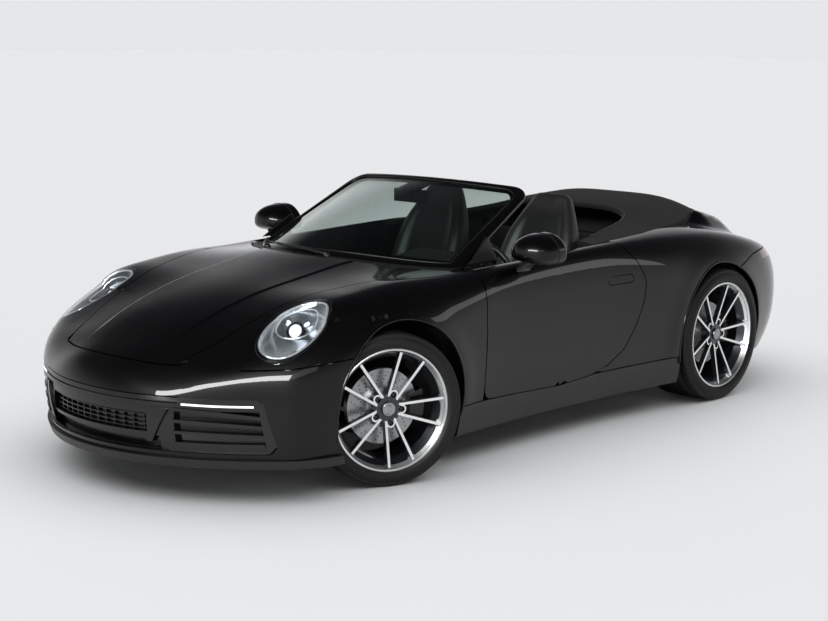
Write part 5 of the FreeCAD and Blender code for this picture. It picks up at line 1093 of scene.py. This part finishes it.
screen = slab_on(-130.0, 130.0, [(-372.0, 800.0), (-352.0, 730.0)], 12.0)
as_piece("dash_screen", screen, "body", gloss_plastic)
dials = [dial(driver_x + k * dial_spacing, dial_z - dial_drop * abs(k), 36.0 if k else 44.0)
         for k in range(-2, 3)]
as_piece("instrument_dials", put_together(dials), "body", gloss_plastic)
roll_x = np.linspace(-roll_half, roll_half, 40)
roll = tube(np.column_stack([roll_x, np.full(40, roll_y), np.full(40, roll_z)]), 13.0, 14)
as_piece("dash_roll", roll, "body", leather)
vents = [tube([(x - vent_half, vent_y, vent_z - vane_pitch * k),
               (x + vent_half, vent_y, vent_z - vane_pitch * k)], 2.2, 6)
         for x in (-560.0, -175.0, 175.0, 575.0) for k in range(4)]
as_piece("vent_vanes", put_together(vents), "body", satin_plastic)

# Lining of the well behind the rear seats, and its rear wall
well = slab_on(-560.0, 560.0, [(860.0, 640.0), (920.0, 740.0), (1100.0, 780.0), (1400.0, 790.0)],
               10.0)
wall = slab_on(-430.0, 430.0, [(1400.0, 780.0), (1440.0, 935.0)], 10.0)
as_piece("roof_well_lining", put_together([outward(well), outward(wall)]), "body", carpet)

# Rolled lips round the wheel arches, 5 mm outside the openings, down to the sills
lip_grow = 5.0
lip_low = 235.0
lips = []
for middle_y, middle_z, radius in ((front_axle_y, front_tyre_radius, front_arch_radius + lip_grow),
                                   (rear_axle_y, rear_tyre_radius, rear_arch_radius + lip_grow)):
    turn = np.radians(np.linspace(-18, 198, 90))
    start = np.stack([np.full(90, 430.0), middle_y + radius * np.cos(turn),
                      middle_z + radius * np.sin(turn)], -1)
    path = on_skin(start, np.broadcast_to([1.0, 0, 0], start.shape), 700.0)
    lips.append(tube(path[path[:, 2] > lip_low] - [1.5, 0, 0], 5.5, 10))
as_piece("arch_lips", both_sides(put_together(lips)), "body", black_paint)

# Door mirrors: a superellipse shell that grows fast from its front, flat behind with its glass
mirror_inner_x = 767.0
mirror_half = 122.0
mirror_z = 925.0
mirror_front_y = -470.0
mirror_depth = 170.0


def mirror_ring(y, size):
    """The shell's outline at a depth, scaled about its middle: taller towards its outer end above,
    nearly level below."""
    c, s = power_round(64, 2.7)
    x = mirror_inner_x + mirror_half + mirror_half * c * size
    out = np.clip((x - mirror_inner_x) / (2 * mirror_half), 0, 1)
    above = 24.0 + 56.0 * np.sin(np.pi * out ** 0.8) ** 0.6 + 26.0 * out
    high = np.where(s > 0, above, 44.0 + 16.0 * out)
    return np.stack([x, np.full(64, y), mirror_z + high * s * size], -1)


growth = np.linspace(0, 1, 20) ** 1.7
rings = [mirror_ring(mirror_front_y + mirror_depth * s, max((1 - (1 - s) ** 2.6) ** 0.42, 0.03))
         for s in growth]
rings += [mirror_ring(y, size) for y, size in (
    (-292.0, 1.0), (-284.0, 0.985), (-281.0, 0.95), (-284.0, 0.92), (-292.0, 0.90))]
shell = loft(rings)
glass = loft([mirror_ring(y, size) for y, size in ((-291.0, 0.9), (-289.5, 0.88), (-289.5, 0.3))])
seam = tube(mirror_ring(-335.0, 1.003), 1.2, 6, True)

# Its foot, an oval section that bends outwards, and the sail, a tapering plate in the corner
foot_start, foot_run = np.array([838.0, -392.0, 838.0]), np.array([52.0, 8.0, 62.0])
foot_half_x, foot_half_y = 19.0, 46.0
sail_start, sail_run = np.array([706.0, -520.0, 878.0]), np.array([-38.0, 66.0, 108.0])
sail_half_x, sail_half_y = 4.5, 102.0
c, d = power_round(28, 2.8)
foot_rings = []
for s in np.linspace(0, 1, 14):
    bend = eased(s)
    x, y, z = foot_start + foot_run * [bend, s, s]
    foot_rings.append(np.stack([x + foot_half_x * c * (1 + 0.5 * s),
                                y + (foot_half_y - 12.0 * s) * d, z + 8.0 * c * bend], -1))
c, d = power_round(32, 3.0)
sail_rings = []
for s in np.linspace(0, 1, 16):
    x, y, z = sail_start + sail_run * s
    sail_rings.append(np.stack([x + sail_half_x * c, y + (sail_half_y - 92.0 * s) * d,
                                np.full(32, z)], -1))
for name in ("left", "right"):
    for label, part, finish in (("shell", shell, black_paint), ("glass", glass, silvered),
                                ("seam", seam, dark_hole),
                                ("foot", loft(foot_rings), gloss_plastic),
                                ("sail", loft(sail_rings), satin_plastic)):
        part = part if name == "left" else flipped(part)
        piece = as_piece("mirror_" + label + "_" + name, part, "door_" + name, finish)
        if label == "shell":
            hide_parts("mirror_" + name)


# Seats: superelliptic sections carried up a bent spine, hollowed between side bolsters
def pad(spine, half, thick, hollow):
    """Sections across a side-view spine of (y, z), each with its half width, thickness and hollow,
    smoothed by moving means, rounded off at the ends and raised in front by the bolsters."""
    spine = np.asarray(spine, float)
    share = np.linspace(0, 1, len(spine))
    fine = np.linspace(0, 1, 46)
    at = np.stack([np.interp(fine, share, row)
                   for row in (spine[:, 0], spine[:, 1], half, thick, hollow)], -1)
    for size in (7, 5):
        padded_ends = np.pad(at, ((size // 2, size // 2), (0, 0)), "edge")
        at = np.stack([np.convolve(column, np.ones(size) / size, "valid")
                       for column in padded_ends.T], -1)
    at, measures = at[:, :2], at[:, 2:]
    way = unit(np.gradient(at, axis=0))
    front = np.stack([-way[:, 1], way[:, 0]], -1)
    c, d = power_round(64, 3.2)
    bolster = eased((np.abs(c) - 0.52) / 0.26) * np.clip((1.0 - np.abs(c)) / 0.08, 0, 1) ** 0.5
    rings = []
    for k, (wide, deep, dip) in enumerate(measures):
        end = min(min(fine[k], 1 - fine[k]) * len(fine) / 5.0, 1.0)
        close = max(math.sqrt(1 - (1 - end) ** 2), 0.08)
        out = deep / 2 * d * close + np.where(d > 0, dip * bolster * close, 0)
        rings.append(np.stack([wide * c * (0.55 + 0.45 * close), at[k, 0] + front[k, 0] * out,
                               at[k, 1] + front[k, 1] * out], -1))
    return np.array(rings)


def seat_piece(name, rings, x):
    """A pad on each side of the car, and piping along its bolsters."""
    rings = rings + np.array([x, 0, 0])
    other_side = np.array([2 * x, 0, 0])
    pieces = []
    for side, shift in (("_left", 0), ("_right", other_side)):
        points, faces = loft(rings)
        piece = as_piece(name + side, (points - shift, faces), "body", leather)
        pieces.append(piece)
    piping = [tube(rings[3:-3, k], 1.8, 6) for k in (9, 23)]
    piping += [(points - other_side, faces) for points, faces in piping]
    as_piece(name + "_piping", put_together(piping), "body", satin_plastic)
    return pieces


seat_x = driver_x
rear_seat_x = 320.0
seat_piece("seat_back", pad(
    [(175, 330), (215, 470), (285, 690), (345, 880), (385, 1000), (410, 1075), (424, 1120)],
    [205, 235, 242, 222, 165, 122, 92], [120, 130, 130, 112, 92, 84, 60],
    [16, 30, 34, 26, 8, 0, 0]), seat_x)
cushions = seat_piece("seat_cushion", pad(
    [(-345, 438), (-300, 452), (-150, 425), (30, 392), (150, 372)],
    [200, 232, 240, 238, 225], [70, 110, 128, 128, 110], [6, 16, 26, 26, 10]), seat_x)
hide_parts("front_seats")
rear_back = pad([(845, 385), (868, 480), (900, 640), (930, 780), (948, 838)],
                [172, 190, 190, 176, 130], [50, 56, 54, 46, 30], [0, 6, 8, 4, 0])
rear_cushion = pad([(585, 432), (640, 448), (740, 425), (850, 400)], [165, 186, 190, 184],
                   [44, 62, 64, 50], [0, 6, 8, 4])
seat_piece("rear_seat_back", rear_back, rear_seat_x)
rear_cushions = seat_piece("rear_seat_cushion", rear_cushion, rear_seat_x)
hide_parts("rear_seats")

# Seat rails along the floor, and the posts on them
rails = []
for x in (seat_x - 150.0, seat_x + 150.0, -seat_x - 150.0, -seat_x + 150.0):
    rails.append(tube([(x, -300, 186), (x, -292, 178), (x, 160, 178), (x, 168, 186)], 11.0, 8))
    rails.append(tube([(x, -180, 186), (x, -170, 372)], 14.0, 10))
    rails.append(tube([(x, 110, 186), (x, 100, 350)], 14.0, 10))
as_piece("seat_rails", put_together(rails), "body", black_casting)


# Windscreen: surround, pane, ceramic band with the sensor behind it, and seal
def screen_way(u, v):
    """The screen's outward normal, from its tangents over a hundredth of its width and height."""
    at = screen_point(u, v)
    way = unit(np.cross(screen_point(u + 0.01, v) - at, screen_point(u, v + 0.01) - at))
    return way * np.where(way[:, 2:] < 0, -1.0, 1.0)


def over_screen(u, v, off):
    """Points off the screen's outer face by a distance along its normal."""
    return screen_point(u, v) + screen_way(u, v) * off


def round_corners(u, low, high, corner_u, corner_v):
    """A closed path in screen shares: two sides, head and foot, joined by quarter ovals above."""
    quarter = np.linspace(0, np.pi / 2, 12)
    half = [(u, v) for v in np.linspace(low, high - corner_v, 16)[:-1]]
    half += [(u - corner_u * (1 - math.cos(t)), high - corner_v * (1 - math.sin(t)))
             for t in quarter]
    half += [(x, high) for x in np.linspace(u - corner_u, 0, 14)[1:]]
    foot = [(x, low) for x in np.linspace(-u, u, 30)[1:-1]]
    return np.array(half + [(-x, v) for x, v in half[-2::-1]] + foot)


frame_sink, frame_half_depth = 13.0, 17.0
outer = round_corners(1.0, -0.02, 1.0, 0.16, 0.15)
inner = round_corners(0.925, 0.045, 0.945, 0.14, 0.12)
edge_out, edge_in = screen_point(*outer.T), screen_point(*inner.T)
faces_out = screen_way(*((outer + inner) / 2).T)
c, d = power_round(28, 2.8)
across = (edge_out - edge_in) / 2
grid = (((edge_out + edge_in) / 2 - faces_out * frame_sink)[:, None]
        + c[None, :, None] * across[:, None]
        + frame_half_depth * d[None, :, None] * faces_out[:, None])
surround = outward((grid.reshape(-1, 3), grid_faces(len(grid), 28, True, True).tolist()))
piece = as_piece("windscreen_surround", surround, "body", gloss_plastic)
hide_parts("windscreen_frame")

# The pane: its edge shrunk to the middle on the outer face, and out again 5 mm further in
screen_middle = np.array([0.0, 0.5])
pane_edge = outer * 0.45 + inner * 0.55 - screen_middle
shrink = np.linspace(0.02, 1.0, 16)
pane = [over_screen(*(pane_edge * s + screen_middle).T, -sink)
        for sink, sizes in ((3.0, shrink), (8.0, shrink[::-1])) for s in sizes]
piece = as_piece("windscreen_pane", outward(loft(pane)), "body", screen_glass)
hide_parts("windscreen")
ceramic = [over_screen(*path.T, -9.0) for path in (
    round_corners(0.95, 0.03, 0.965, 0.14, 0.12), round_corners(0.905, 0.085, 0.925, 0.13, 0.11))]
sensor_u, sensor_v = np.meshgrid(np.linspace(-0.13, 0.13, 9), np.linspace(0.80, 0.93, 5),
                                 indexing="ij")
sensor = screen_point(sensor_u, sensor_v) - [0.0, -4.0, 8.0]
as_piece("screen_ceramic_band", put_together([
    (ceramic, grid_faces(2, len(ceramic[0]), False, True)), (sensor, grid_faces(9, 5))]),
         "body", gloss_plastic)
seal_path = edge_in + (edge_out - edge_in) * 0.02 + faces_out * 1.5
as_piece("screen_seal", tube(seal_path, 3.0, 8, True), "body", satin_plastic)


# Wipers: a low pivot cap, a tapering arm and a thin blade lying along the screen's foot
def along_foot(first, last, rise_first, rise_last, off, count=30):
    """A straight path in screen shares, off the screen's outer face."""
    return over_screen(np.linspace(first, last, count), np.linspace(rise_first, rise_last, count),
                       off)


pivot_rise, arm_rise = -0.012, 0.034
blade_first_rise, blade_last_rise = 0.012, 0.040
parts = []
for pivot, tip in ((-0.52, -0.96), (0.22, -0.44)):
    arm = along_foot(pivot, pivot + (tip - pivot) * 0.62, pivot_rise, arm_rise, 15.0)
    parts.append(tube(arm, np.linspace(8.5, 4.5, 30), 10))
    blade = along_foot(pivot + (tip - pivot) * 0.12, tip, blade_first_rise, blade_last_rise, 5.5)
    parts.append(tube(blade, 4.6, 8))
    cap_at = along_foot(pivot, pivot + 0.001, pivot_rise, pivot_rise, 2.0, 2)[0]
    parts.append(lathe([(-8, 15.0), (10, 15.0), (15, 12.0), (17, 0.1)], cap_at,
                       [0, -0.35, 0.94], 24))
piece = as_piece("wiper_arms", put_together(parts), "body", satin_plastic)
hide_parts("wipers")

# Floor: matt painted boards, wide enough for its edge to lie beyond every view
floor_half = 120.0
floor_corners = np.array([[-1, -1], [1, -1], [1, 1], [-1, 1]]) * floor_half
floor_mesh = bpy.data.meshes.new("floor")
floor_mesh.from_pydata([(x, y, 0.0) for x, y in floor_corners], [], [(0, 1, 2, 3)])
floor = add_object("floor", floor_mesh)
floor_mesh.materials.append(new_finish("painted_studio_floor", "#dfe0e1", 0.6,
                                       Specular_IOR_Level=0.2))

# A pale band round the horizon, darker overhead so that black paint stays deep
world = bpy.data.worlds.new("studio")
bpy.context.scene.world = world
world.use_nodes = True
tree = world.node_tree
height = add_node(tree, "SeparateXYZ", None,
                  {"Vector": add_node(tree, "TexCoord").outputs["Generated"]})
band = add_node(tree, "MapRange",
                {"From Min": 0.06, "From Max": 0.52, "To Min": 1.0, "To Max": 0.0},
                {"Value": height.outputs["Z"]}, interpolation_type="SMOOTHSTEP")
sky = add_node(tree, "MixRGB", {"Color1": linear("#303134"), "Color2": linear("#e6e7e9")},
               {"Fac": band.outputs["Result"]})
tree.links.new(sky.outputs[0], tree.nodes["Background"].inputs["Color"])
tree.nodes["Background"].inputs["Strength"].default_value = 1.0


def soft_light(name, place, aim, width, height, power):
    """A rectangular soft box at a place, turned to what it lights, seen only in polished faces."""
    data = bpy.data.lights.new(name, "AREA")
    data.shape = "RECTANGLE"
    data.size, data.size_y, data.energy = width, height, power
    lamp = add_object(name, data)
    lamp.location = place
    lamp.rotation_euler = (Vector(aim) - Vector(place)).to_track_quat("-Z", "Y").to_euler()
    lamp.visible_camera = lamp.visible_diffuse = False


ceiling = bpy.data.lights.new("ceiling", "SUN")
ceiling.energy, ceiling.angle = 3.3, math.radians(110)
add_object("ceiling", ceiling).visible_glossy = False
soft_light("left_box", (6.4, -3.6, 3.9), (0.9, -1.0, 0.5), 5.0, 1.4, 40.0)
soft_light("front_box", (2.4, -6.0, 3.5), (0.6, -1.9, 0.5), 6.4, 1.1, 820.0)
soft_light("rear_box", (4.6, 4.6, 3.0), (0.9, 1.2, 0.7), 1.6, 0.9, 9.0)
bpy.context.scene.view_settings.view_transform = "Standard"
bpy.context.scene.view_settings.look = "None"

# Camera at the photograph's viewing angle: its own right, up and forward, and its place in metres
camera_data = bpy.data.cameras.new("camera")
camera_data.lens = 72.80
camera_data.sensor_width = 36.0
camera = add_object("camera", camera_data)
right = Vector((0.72963638, 0.68375834, 0.01026085))
up = Vector((-0.11951722, 0.11273382, 0.98641103))
forward = Vector((-0.67331002, 0.72094772, -0.16397559))
camera_turn = Matrix((right, up, -forward)).transposed().to_4x4()
camera.matrix_world = Matrix.Translation((5.708293, -6.341014, 1.923367)) @ camera_turn
bpy.context.scene.camera = camera
